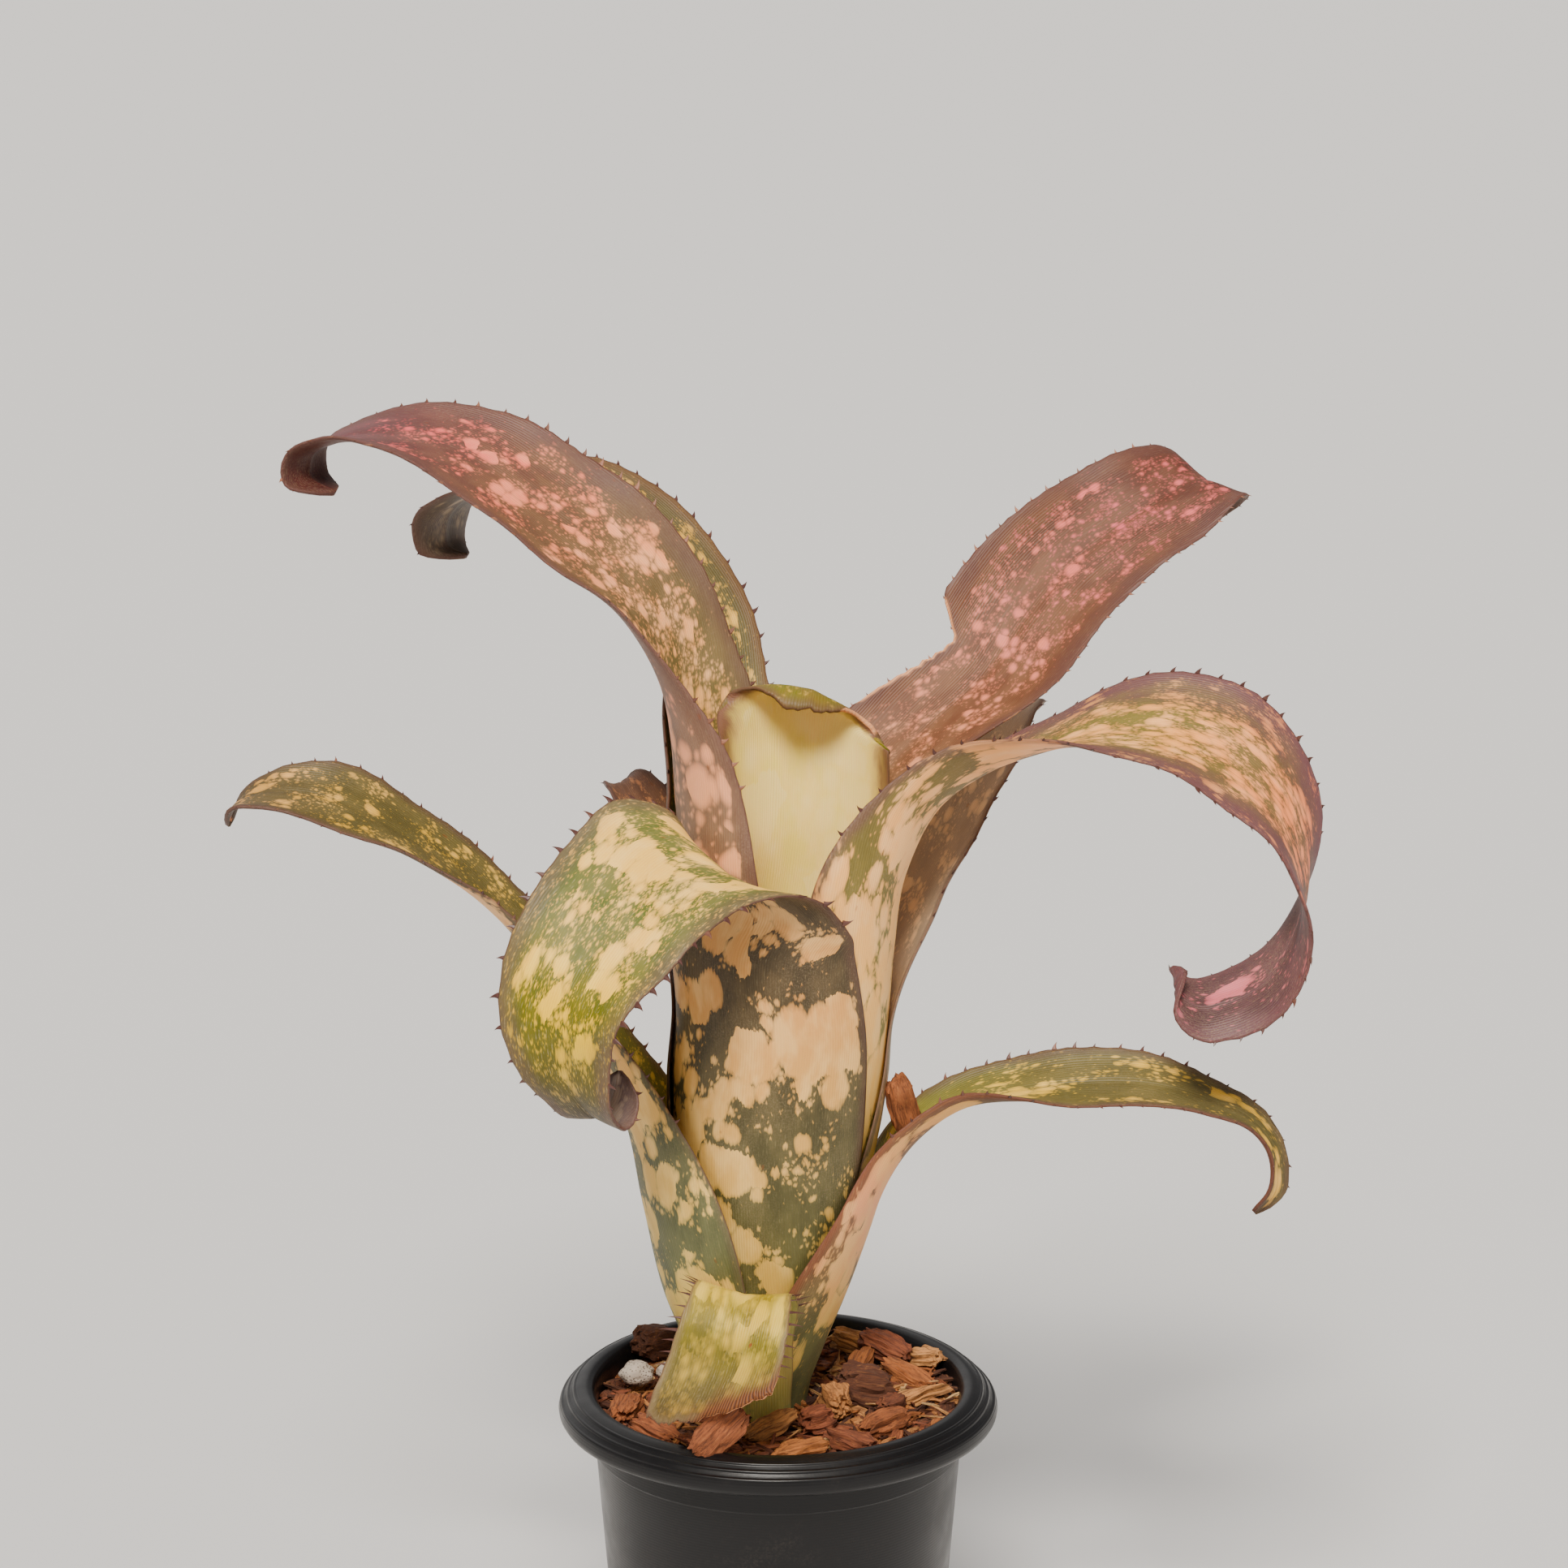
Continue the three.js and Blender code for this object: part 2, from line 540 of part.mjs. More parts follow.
function potSolid() {
  const inner = (r) => r - POT_WALL;
  const profile = [
    [0, 0], [POT_BASE_RADIUS - POT_BEVEL, 0], [POT_BASE_RADIUS, POT_BEVEL], [POT_NECK_RADIUS, POT_NECK_Z],
    ...RIM_OUTLINE.map(([inward, z]) => [RIM_RADIUS - inward, z]),
    [inner(POT_NECK_RADIUS) + 0.2, LIP_DROP_Z], [inner(POT_NECK_RADIUS), POT_NECK_Z - 1],
    [inner(POT_BASE_RADIUS), POT_FLOOR + 1], [inner(POT_BASE_RADIUS) - 1.2, POT_FLOOR], [0, POT_FLOOR],
  ];
  const { points, faces } = revolve(profile, POT_SEGMENTS);
  let solid = toManifold(points, faces);
  for (let k = 0; k < DRAIN_HOLES; k += 1) {
    const angle = (k + 0.5) * 2 * Math.PI / DRAIN_HOLES;
    const drill = Manifold.cylinder(POT_FLOOR + 4, DRAIN_RADIUS, DRAIN_RADIUS, 16)
      .translate([DRAIN_RING * Math.cos(angle), DRAIN_RING * Math.sin(angle), -2]);
    solid = solid.subtract(drill);
  }
  return solid;
}

// Irregular block of bark: eight corners moved about by a fixed rule
function chipSolid(chip, index) {
  const [x, y, z, length, width, height, turn, tilt] = chip;
  const wobble = (k) => 0.82 + 0.18 * Math.sin(index * 12.9 + k * 4.7);
  const points = [];
  for (let k = 0; k < 8; k += 1) {
    const sx = (k & 1) ? 1 : -1;
    const sy = (k & 2) ? 1 : -1;
    const sz = (k & 4) ? 1 : -1;
    const taper = sz > 0 ? 0.86 : 1;
    const p = vec(
      sx * length / 2 * wobble(k) * taper,
      sy * width / 2 * wobble(k + 3) * taper,
      sz * height / 2 * wobble(k + 5),
    );
    p.applyAxisAngle(vec(0, 1, 0), tilt * DEG);
    p.applyAxisAngle(vec(0, 0, 1), turn * DEG);
    points.push(p.add(vec(x, y, z)));
  }
  return Manifold.hull(points.map((p) => [p.x, p.y, p.z]));
}

// Larger pieces of bark: [x, y, z, length, width, height, turn, tilt]
const NAMED_CHIPS = [
  [-30, 25, 95, 14, 7, 8, 50, 15], [19.5, 27, 94, 10, 7, 8, -20, 10], [34, 17, 93.5, 9, 7, 8, 30, 0],
  [23, 6, 93, 13, 11, 9, 20, 8], [14, -8, 92, 9, 10, 8, -60, 0], [24, 22, 97, 14, 9, 9, -35, 10],
  [24, -24, 92, 12, 9, 8, 40, 0], [-8, 33, 95, 14, 8, 8, -15, 5],
];

// Pale pumice lumps on the bark: [x, y, z, half length, half depth, half height]
const PUMICE = [
  ['pumice_large', -34, 6, 94.5, 4.6, 3.6, 3.2],
  ['pumice_small', -26.5, 8.5, 94, 3, 2.6, 2.4],
];

// Rings of bark that cover the rest of the surface: [ring radius, count, length, width]
const CHIP_RINGS = [[37, 14, 13, 9], [29, 10, 12, 10], [21.5, 6, 11, 8]];
const CHIP_LEVEL = 89.8;
const CHIP_HEIGHT = 7.5;
const CHIP_TURN = 35;
const CHIP_TILT = 11;

function ringChips() {
  const chips = [];
  CHIP_RINGS.forEach(([ring, count, length, width], r) => {
    for (let k = 0; k < count; k += 1) {
      const seed = Math.sin(k * 7.13 + r * 3.1);
      const angle = (k + 0.28 * seed) * 2 * Math.PI / count + r * 0.4;
      const radius = ring + 0.9 * Math.sin(k * 2.9 + r);
      chips.push([
        radius * Math.cos(angle), radius * Math.sin(angle), CHIP_LEVEL + 1.2 * Math.sin(k * 5.3 + r * 2),
        length * (1 + 0.15 * seed), width * (1 - 0.12 * seed), CHIP_HEIGHT,
        angle / DEG + 90 + CHIP_TURN * Math.sin(k * 3.7 + r * 1.9), CHIP_TILT * Math.sin(k * 4.1 + r),
      ]);
    }
  });
  return chips;
}

const LUMP_POINTS = 14;
const LUMP_TURN = 2.4;
const LUMP_DENT = 0.14;

// Rounded lump: points spread over a squashed ball along a spiral, some of them pressed in
function lumpSolid([x, y, z, rx, ry, rz], grow) {
  const points = [];
  for (let k = 0; k < LUMP_POINTS; k += 1) {
    const height = 1 - 2 * (k + 0.5) / LUMP_POINTS;
    const ring = Math.sqrt(1 - height * height);
    const angle = k * LUMP_TURN;
    const size = 1 - LUMP_DENT * Math.abs(Math.sin(k * 5.1 + x));
    points.push([
      x + (rx * size + grow) * ring * Math.cos(angle),
      y + (ry * size + grow) * ring * Math.sin(angle),
      z + (rz * size + grow) * height,
    ]);
  }
  return Manifold.hull(points);
}

function barkSolid() {
  const wallInner = (z) => POT_BASE_RADIUS - POT_WALL - FIT_GAP
    + (POT_NECK_RADIUS - POT_BASE_RADIUS) * (z - POT_BEVEL) / (POT_NECK_Z - POT_BEVEL);
  const foot = POT_FLOOR + FIT_GAP;
  const profile = [
    [0, foot], [wallInner(foot) - 1.8, foot], [wallInner(foot + 2) - 0.3, foot + 2],
    [wallInner(SOIL_TOP - 4), SOIL_TOP - 4], [wallInner(SOIL_TOP - 4), SOIL_TOP],
    [WELL_RADIUS + 1.5, SOIL_TOP + SOIL_CROWN], [0, SOIL_TOP + SOIL_CROWN],
  ];
  const bed = revolve(profile, BARK_SEGMENTS);
  let solid = toManifold(bed.points, bed.faces);
  NAMED_CHIPS.concat(ringChips()).forEach((chip, index) => {
    solid = solid.add(chipSolid(chip, index));
  });
  const well = Manifold.cylinder(WELL_DEPTH, WELL_RADIUS, WELL_RADIUS + WELL_FLARE, 40)
    .translate([AXIS_FOOT_X, 0, WELL_FLOOR]);
  const neck = wallInner(POT_NECK_Z - 1);
  const keep = revolve([
    [0, 0], [wallInner(POT_BEVEL), 0], [wallInner(POT_BEVEL), POT_BEVEL], [neck, POT_NECK_Z - 1],
    [neck, CHIP_LEVEL + 20], [0, CHIP_LEVEL + 20],
  ], BARK_SEGMENTS);
  solid = solid.subtract(well).intersect(toManifold(keep.points, keep.faces));
  PUMICE.forEach(([, ...lump]) => {
    solid = solid.subtract(lumpSolid(lump, FIT_GAP * 1.2));
  });
  return solid;
}

// Chip of bark lodged between the tube of sheaths and the low right leaf, as rows of
// [height, left, right, half depth]
const AXIL_CHIP_Y = -4.5;
const AXIL_CHIP_ROWS = [[157.6, 25.9, 29.9, 2.4], [166, 26.2, 33.3, 3.6], [174.5, 26.9, 32.4, 3]];

function axilChipSolid() {
  const points = [];
  AXIL_CHIP_ROWS.forEach(([z, left, right, half], k) => {
    points.push(
      [left, AXIL_CHIP_Y - half, z], [right, AXIL_CHIP_Y - 0.5 - half * 0.8, z + 0.8 * Math.sin(k * 2)],
      [right, AXIL_CHIP_Y + half, z - 0.6], [left, AXIL_CHIP_Y + half * 0.9, z + 0.4],
    );
  });
  return Manifold.hull(points);
}

// Short stem inside the sheaths
function stemSolid() {
  const profile = [
    [0, WELL_FLOOR + FIT_GAP], [6.8, WELL_FLOOR + FIT_GAP], [6.8, 92], [6.2, 97], [5.9, 109], [5.6, 113],
    [4.4, 116.5], [2.4, 118.2], [0, 118.8],
  ];
  const { points, faces } = revolve(profile, 24, (z) => axisAt(z).x);
  return solidFrom(points, faces);
}

const group = new THREE.Group();
group.name = 'potted_billbergia';
group.add(meshOf('pot', fromManifold(potSolid()), 0x1b1b1c, 0.5));
group.add(meshOf('bark', fromManifold(barkSolid()), 0x7b4a2c, 0.95));
group.add(meshOf('stem_base', stemSolid(), 0x8f8a5a, 0.8));
PUMICE.forEach(([name, ...lump]) => {
  group.add(meshOf(name, fromManifold(lumpSolid(lump, 0)), 0xc9c5bd, 0.9));
});
group.add(meshOf('axil_chip', fromManifold(axilChipSolid()), 0xa8683c, 0.9));
LEAVES.forEach((leaf) => group.add(meshOf(leaf.name, leafGeometry(leaf), leaf.colour, 0.5)));

export default group;
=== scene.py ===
# Looks, light and camera for the potted billbergia.
# Metres, +Z up. The origin is the centre of the pot's underside and -Y is the front.
import math

import bpy
import numpy as np
from mathutils import Matrix, Vector, noise


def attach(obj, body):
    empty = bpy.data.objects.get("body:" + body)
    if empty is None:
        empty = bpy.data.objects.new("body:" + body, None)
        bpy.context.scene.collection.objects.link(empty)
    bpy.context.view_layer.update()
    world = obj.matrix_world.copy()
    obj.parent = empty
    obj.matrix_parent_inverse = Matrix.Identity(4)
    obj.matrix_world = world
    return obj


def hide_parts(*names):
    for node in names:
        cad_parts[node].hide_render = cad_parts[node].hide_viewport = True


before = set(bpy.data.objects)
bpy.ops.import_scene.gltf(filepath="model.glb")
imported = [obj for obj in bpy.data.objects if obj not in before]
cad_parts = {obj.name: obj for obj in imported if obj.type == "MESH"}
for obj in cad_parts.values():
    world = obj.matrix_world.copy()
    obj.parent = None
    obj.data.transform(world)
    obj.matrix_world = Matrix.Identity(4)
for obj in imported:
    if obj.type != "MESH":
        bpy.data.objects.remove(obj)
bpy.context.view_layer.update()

MM = 0.001
DEG = math.pi / 180

# Pot, in millimetres
POT_WALL = 1.2
POT_FLOOR = 1.6
POT_BASE_RADIUS = 37.5
POT_NECK_RADIUS = 44.3
POT_NECK_Z = 86.6
RIM_RADIUS = 52.5
POT_SEGMENTS = 144
DRAIN_HOLES = 6
DRAIN_RADIUS = 4.2
DRAIN_RING = 24
DRAIN_SIDES = 24

# Ringed slope of the rim, from its foot to the lip: how far in from the rim's edge, and height
RIM_FOOT = (0.3, 90.9)
RIM_LIP = (6.3, 95.0)
RIM_RINGS = 5
RIM_CUTS = 64
RING_HEIGHT = 0.3

# Axis that the leaf sheaths are rolled round
AXIS_FOOT_X = -5
AXIS_LEAN = 0.078
AXIS_FOOT_Z = 92

# Radius of the middle sheath against height
SHEATH_PROFILE = [
    (92, 9.2), (106, 12.4), (118, 16), (130, 19), (142, 21.8), (156, 24.4), (170, 25.6), (186, 25.8),
    (240, 25.6),
]
SHEATH_FOOT = 86
SHEATH_LEVELS = [92.5, 105, 119, 136, 154, 172, 190]
SHEATH_SETTLE = 60
SHEATH_LEVEL_CLEARANCE = (4, 5)
SHEATH_THICKNESS = 0.75
BLADE_THICKNESS = 0.95
LAYER_PITCH_FOOT = 1.25
LAYER_PITCH_TOP = 1.35

# Fineness of a leaf; its columns stand closer towards the margins
LEAF_STEP = 1.5
LEAF_COLUMNS = 44
COLUMN_POWER = 1.25

# A leaf thins to this share over the last millimetres of its margins, and narrows over its tip
MARGIN_THIN = 0.35
MARGIN_THINS_OVER = 1.6
TIP_LENGTH = 7
TIP_LEAST = 0.006

# Stretch before a torn end that is squeezed, and how far apart the patterns of a leaf's sides lie
TORN_LENGTH = 30
SIDE_SHIFT = 37.0

# Spines on the margins
SPINE_PITCH = 5.6
SPINE_BASE = 1.5
SPINE_LENGTH = 2.1
SPINE_BEND = 0.9
SPINE_FLATNESS = 0.5
SPINE_SUNK = 0.25
SPINE_FREE_TIP = 4
SPINE_SEED = 4
SCALLOP_DEPTH = 0.3
# On each leaf: thickness, length, distance apart and how pale they are, in shares of the usual
SPINE_SHAPES = {
    "leaf_front": (1.0, 1.0, 1.0, 0.2),
    "leaf_right_arch": (0.8, 0.8, 0.9, 0.2),
    "leaf_left_high": (0.8, 0.75, 0.9, 0.45),
    "leaf_right_high": (0.5, 0.5, 0.8, 0.5),
    "leaf_centre": (0.4, 0.4, 0.4, 0.9),
    "leaf_front_low": (0.55, 1.9, 0.45, 0.0),
    "leaf_right_low": (0.65, 0.7, 0.9, 0.3),
    "leaf_left_low": (0.6, 0.65, 0.9, 0.3),
}
USUAL_SPINES = (0.8, 0.8, 1.0, 0.2)

# Each leaf as in the part's source: layer, azimuth, foot, top, drift, spans, where its spines
# start, and blade rows of [x, y, z, half width, across x, across y, across z, cup angle].
# Where no foot or drift is given, they are SHEATH_FOOT and 0
LEAVES = {
    "leaf_front_low": dict(layer=4, azimuth=258, top=114, drift=3, spans=(50, 42, 34), spines=10, blade=[
        (-7.5, -26.5, 124, 12.5, 0.97, -0.18, -0.05, 44),
        (-8, -32.5, 129, 11.5, 0.97, -0.18, -0.1, 34),
        (-9.5, -38.5, 125, 12.5, 0.97, -0.18, -0.1, 30),
        (-12.5, -43, 114.5, 13.5, 0.97, -0.18, -0.05, 30),
        (-15, -45.3, 109, 13.8, 0.97, -0.18, 0, 30),
        (-17, -46.6, 105, 13.2, 0.97, -0.18, 0.04, 30),
        (-17.8, -47.2, 103, 12.2, 0.97, -0.18, 0.08, 30),
    ]),
    "leaf_left_low": dict(layer=3, azimuth=185, top=120, drift=4, spans=(105, 94, 86), spines=42, blade=[
        (-31, -2, 140, 31, 0.08, -1, 0, 150),
        (-35, 0, 160, 23, 0.05, -1, 0.05, 136),
        (-43, 2, 178, 15.5, 0.02, -1, 0.1, 118),
        (-63, 4, 207, 13, -0.04, -1, 0.02, 100),
        (-86, 3, 228, 12, -0.09, -0.97, -0.25, 60),
        (-108, 1, 239, 10.5, -0.1, -0.87, -0.49, 36),
        (-118, 0.5, 239.5, 8.5, -0.1, -0.95, -0.3, 30),
        (-125, 0, 237, 6.5, -0.1, -0.98, 0, 30),
        (-127.5, 0, 232, 3.5, -0.3, -0.95, 0.1, 30),
    ]),
    "leaf_right_low": dict(layer=2, azimuth=350, top=142, drift=0.5, spans=(95, 78, 46), spines=18, blade=[
        (33, -4, 158, 13, 0.15, 0.99, 0, 110),
        (43, -2.5, 165, 11.5, 0.1, 1, 0, 105),
        (57, -1, 168, 11, 0.02, 0.98, 0.2, 85),
        (70, -1, 169.5, 10.5, 0, 0.88, 0.48, 55),
        (86, -1, 169.5, 9.5, 0.08, 0.9, 0.44, 45),
        (100, -1.5, 166, 8, 0.2, 0.93, 0.32, 45),
        (112, -1.5, 160, 6.5, 0.4, 0.92, 0, 45),
        (117, -1.5, 152, 5, 0.55, 0.8, -0.25, 45),
        (117, -1.5, 143, 4, 0.55, 0.75, -0.35, 42),
        (112.5, -1.5, 138, 2.5, 0.3, 0.8, -0.5, 40),
    ]),
    "leaf_back_low": dict(layer=1, azimuth=150, top=188, spans=(100, 62, 28), spines=16, blade=[
        (-25, 20, 208, 13.5, -0.5, -0.87, 0, 70),
        (-31, 30, 222, 13, -0.5, -0.87, 0, 60),
        (-35.5, 39, 229.5, 11.5, -0.5, -0.87, 0, 50),
        (-38, 46, 231, 8, -0.5, -0.87, 0, 45),
        (-39.5, 50, 227, 4, -0.5, -0.87, 0, 40),
    ]),
    "leaf_front": dict(layer=0, azimuth=242, top=186, spans=(110, 86, 72), spines=36, blade=[
        (-10.5, -22, 207, 29.5, 0.88, -0.47, -0.03, 124),
        (-6.5, -24.5, 221, 23, 0.87, -0.32, -0.38, 78),
        (-13, -27, 228.5, 21, 0.82, -0.35, -0.46, 55),
        (-23, -32, 231, 20.5, 0.76, -0.41, -0.51, 45),
        (-31, -42, 227, 20, 0.76, -0.47, -0.45, 38),
        (-39, -51, 219, 19, 0.82, -0.43, -0.37, 32),
        (-45, -57, 210, 17.5, 0.88, -0.46, -0.15, 28),
        (-47.5, -59, 202, 15.5, 0.87, -0.48, 0.03, 25),
        (-47, -58, 193, 13, 0.84, -0.5, 0.15, 22),
        (-44, -54.5, 182.5, 11.5, 0.75, -0.66, 0.05, 20),
        (-39.5, -50.5, 177.5, 9.5, 0.73, -0.68, 0.05, 22),
        (-36.5, -48, 180.5, 7.2, 0.78, -0.62, 0, 26),
        (-35, -47, 187.5, 4.2, 0.82, -0.57, 0, 26),
    ]),
    "leaf_back_right": dict(layer=-1, azimuth=48, top=186, spans=(110, 88, 58), spines=16, blade=[
        (29, 28, 206, 20, -0.72, 0.68, 0, 90),
        (39, 38, 226, 18, -0.72, 0.68, 0.1, 70),
        (48, 47, 243, 16.5, -0.72, 0.66, 0.2, 50),
        (52.5, 53, 249.5, 14, -0.72, 0.66, 0.2, 40),
        (56.5, 60.5, 249.5, 11, -0.72, 0.66, 0.1, 35),
        (58.5, 66.5, 243, 6, -0.72, 0.68, 0, 30),
    ]),
    "leaf_right_arch": dict(layer=-2, azimuth=350, foot=97, top=204, spans=(115, 92, 78), spines=26, blade=[
        (29, -3.5, 222, 29, 0.2, 0.98, 0, 144),
        (36.5, -1.5, 237, 21.5, 0.36, 0.93, -0.06, 112),
        (48, 1, 245, 18.5, 0.3, 0.93, -0.2, 84),
        (62, 2, 250, 18, 0.14, 0.98, -0.08, 60),
        (75, 3, 253.5, 18, 0.12, 0.96, 0.21, 45),
        (92, 3, 253.5, 19, 0.19, 0.87, 0.46, 36),
        (106, 1.5, 248, 19, 0.25, 0.8, 0.55, 30),
        (116, -1, 238, 18.5, 0.28, 0.84, 0.45, 30),
        (121, -3, 225, 17, 0.24, 0.9, 0.34, 30),
        (121.5, -6, 214, 15, 0.12, 0.92, 0.36, 30),
        (119, -8, 206, 13.5, 0, 0.9, 0.43, 30),
        (113, -10, 198, 12, -0.05, 0.87, 0.49, 30),
        (104, -10.5, 193, 11, 0, 0.85, 0.53, 30),
        (96.5, -11, 192, 10, 0, 0.85, 0.53, 30),
        (92, -11, 195.5, 8, 0, 0.85, 0.53, 30),
        (94, -11, 200, 5, 0, 0.85, 0.53, 30),
    ]),
    "leaf_back_left": dict(layer=-3, azimuth=130, foot=101, top=196, spans=(110, 90, 62), spines=46, blade=[
        (-15.7, 18.8, 216, 20.2, -0.77, -0.64, 0, 100),
        (-17, 20.5, 236, 20, -0.77, -0.64, 0.05, 98),
        (-18.5, 25.5, 254, 19, -0.72, -0.69, 0.1, 86),
        (-20, 37.5, 272, 18, -0.56, -0.83, 0.05, 76),
        (-29.5, 49, 287, 19, -0.3, -0.95, -0.1, 70),
        (-44, 59, 296, 18, -0.34, -0.91, -0.2, 58),
        (-60, 68, 299, 17, -0.37, -0.92, -0.15, 48),
        (-75, 75, 297, 15, -0.4, -0.91, -0.03, 38),
        (-82, 79, 290, 12.5, -0.48, -0.87, 0.02, 30),
        (-82, 79.5, 283, 9.5, -0.51, -0.86, 0, 25),
        (-77, 77, 281, 5.5, -0.55, -0.8, 0, 22),
    ]),
    "leaf_left_high": dict(layer=-4, azimuth=168, foot=105, top=200, spans=(115, 92, 90), spines=44, blade=[
        (-21.4, 3.5, 218, 33, -0.14, -0.99, 0, 176),
        (-23, 4.5, 235, 31, -0.14, -0.99, 0, 174),
        (-24, 5, 252, 27.5, -0.2, -0.98, 0, 168),
        (-26, 8.5, 267, 23, -0.3, -0.95, -0.08, 115),
        (-31.5, 13, 281, 21, -0.44, -0.88, -0.16, 88),
        (-42.5, 17.5, 293, 20.5, -0.5, -0.81, -0.3, 74),
        (-57, 21, 304, 19.5, -0.52, -0.8, -0.3, 64),
        (-74, 24, 315, 18, -0.48, -0.83, -0.28, 54),
        (-89, 26, 319, 15.5, -0.34, -0.93, -0.18, 45),
        (-102, 27, 318, 13, -0.28, -0.96, -0.05, 35),
        (-109, 27, 314.5, 11, -0.36, -0.93, 0, 30),
        (-109.5, 25, 309.5, 9, -0.5, -0.86, -0.02, 26),
        (-103, 22, 306, 5.5, -0.48, -0.88, -0.03, 22),
    ]),
    "leaf_right_high": dict(layer=-5, azimuth=50, foot=109, top=204, spans=(115, 92, 70), spines=28, blade=[
        (18, 15.5, 222, 17.5, -0.77, 0.64, 0, 98),
        (24, 21, 236.5, 18, -0.78, 0.62, 0.03, 86),
        (36.5, 28.5, 249, 20, -0.8, 0.58, 0.12, 78),
        (49, 34.5, 260, 20, -0.78, 0.55, 0.3, 68),
        (58, 42, 272, 19.5, -0.77, 0.48, 0.42, 58),
        (68.5, 50, 283, 18.5, -0.76, 0.44, 0.47, 50),
        (81, 56, 292, 17.5, -0.7, 0.51, 0.49, 42),
        (94, 61.5, 299, 16, -0.64, 0.58, 0.5, 35),
        (102.5, 66.5, 302, 14, -0.6, 0.7, 0.35, 28),
        (106, 73, 299.5, 12, -0.62, 0.74, 0.2, 28),
        (104, 79.5, 293, 9.5, -0.66, 0.74, 0.05, 28),
        (99, 82, 287, 6, -0.7, 0.7, 0, 28),
    ]),
    "leaf_centre": dict(layer=-6, azimuth=92, foot=113, top=208, spans=(110, 96, 92), spines=400, blade=[
        (5.5, 17.3, 226, 27, -0.99, -0.05, -0.03, 176),
        (6, 18.8, 240, 28, -0.99, -0.03, 0, 172),
        (6.3, 19.8, 251, 27.5, -0.98, 0, 0.1, 156),
        (7, 18.5, 257.5, 24, -0.95, 0, 0.24, 112),
        (8, 13.5, 260.5, 20, -0.95, 0, 0.3, 66),
        (7.5, 8, 258.5, 18, -0.95, 0, 0.31, 42),
        (7, 5.5, 252.5, 15, -0.95, 0, 0.31, 36),
    ]),
}


# How much stronger a colour is than its hex value, as soft light and the film curve wash it out:
# for black, and what is added towards white
VIVID = 1.15
VIVID_RISE = 0.85


# Colour from sRGB hex, as linear values
def seen(code, alpha=1.0):
    parts = [int(code[i:i + 2], 16) / 255 for i in (0, 2, 4)]
    linear = [c / 12.92 if c <= 0.04045 else ((c + 0.055) / 1.055) ** 2.4 for c in parts]
    grey = sum(linear) / 3
    vivid = VIVID + VIVID_RISE * math.sqrt(grey)
    return (*(max(0.0, grey + (c - grey) * vivid) for c in linear), alpha)


# Cubic through unevenly spaced knots, for every column of values at once
def through(knots, values, at):
    knots = np.asarray(knots, float)
    values = np.asarray(values, float)
    if values.ndim == 1:
        values = values[:, None]
    at = np.clip(np.asarray(at, float), knots[0], knots[-1])
    gap = np.diff(knots)
    rise = np.diff(values, axis=0) / gap[:, None]
    slope = np.empty_like(values)
    slope[0] = rise[0]
    slope[-1] = rise[-1]
    if len(knots) > 2:
        before = gap[:-1, None]
        after = gap[1:, None]
        slope[1:-1] = (rise[:-1] * after + rise[1:] * before) / (before + after)
    i = np.clip(np.searchsorted(knots, at, side="right") - 1, 0, len(knots) - 2)
    t = ((at - knots[i]) / gap[i])[:, None]
    span = gap[i][:, None]
    return (
        (2 * t**3 - 3 * t**2 + 1) * values[i]
        + (t**3 - 2 * t**2 + t) * span * slope[i]
        + (3 * t**2 - 2 * t**3) * values[i + 1]
        + (t**3 - t**2) * span * slope[i + 1]
    )


# Soft step from 0 to 1
def smooth(t):
    t = np.clip(t, 0, 1)
    return t * t * (3 - 2 * t)


# Vectors of length 1
def unit(v):
    return v / np.linalg.norm(v, axis=-1, keepdims=True)


# Point of the sheaths' axis at a height
def axis_at(z):
    return np.array([AXIS_FOOT_X + AXIS_LEAN * (max(z, AXIS_FOOT_Z) - AXIS_FOOT_Z), 0, z])


# Radius of a layer's sheath at a height
def sheath_radius(layer, z):
    settle = float(smooth((z - AXIS_FOOT_Z) / SHEATH_SETTLE))
    pitch = LAYER_PITCH_FOOT + (LAYER_PITCH_TOP - LAYER_PITCH_FOOT) * settle
    heights, radii = zip(*SHEATH_PROFILE)
    return float(through(heights, radii, [z])[0, 0]) + layer * pitch


# Stations of a leaf from its foot to its tip, one row of channels each
def leaf_stations(leaf):
    rows = []
    turn = leaf["azimuth"] * DEG
    outward = np.array([math.cos(turn), math.sin(turn), 0])
    across = np.array([-outward[1], outward[0], 0])
    foot = leaf.get("foot", SHEATH_FOOT)
    top = leaf["top"]
    low = foot + SHEATH_LEVEL_CLEARANCE[0]
    high = top - SHEATH_LEVEL_CLEARANCE[1]
    between = [z for z in SHEATH_LEVELS if low < z < high]
    spans = through([foot, (foot + top) / 2, top], leaf["spans"], [foot, *between, top])[:, 0]
    for z, span in zip([foot, *between, top], spans):
        radius = sheath_radius(leaf["layer"], z)
        drift = leaf.get("drift", 0) * float(smooth((z - AXIS_FOOT_Z) / (top - AXIS_FOOT_Z)))
        centre = axis_at(z) + outward * (radius + drift)
        rows.append([*centre, *across, *(-outward), radius * span * DEG, 2 * span, SHEATH_THICKNESS])
    sheath_rows = len(rows)
    centres = [np.array(rows[-1][:3])] + [np.array(b[:3], float) for b in leaf["blade"]]
    for i, (x, y, z, half, ax, ay, az, cup) in enumerate(leaf["blade"]):
        following = centres[min(i + 2, len(centres) - 1)]
        along = unit(following - centres[i])
        side = unit(np.array([ax, ay, az], float))
        rows.append([x, y, z, *side, *unit(np.cross(along, side)), half, cup, BLADE_THICKNESS])
    rows = np.array(rows, float)
    knots = np.concatenate([[0], np.cumsum(np.linalg.norm(np.diff(rows[:, :3], axis=0), axis=1))])
    return rows, knots, knots[sheath_rows - 1]


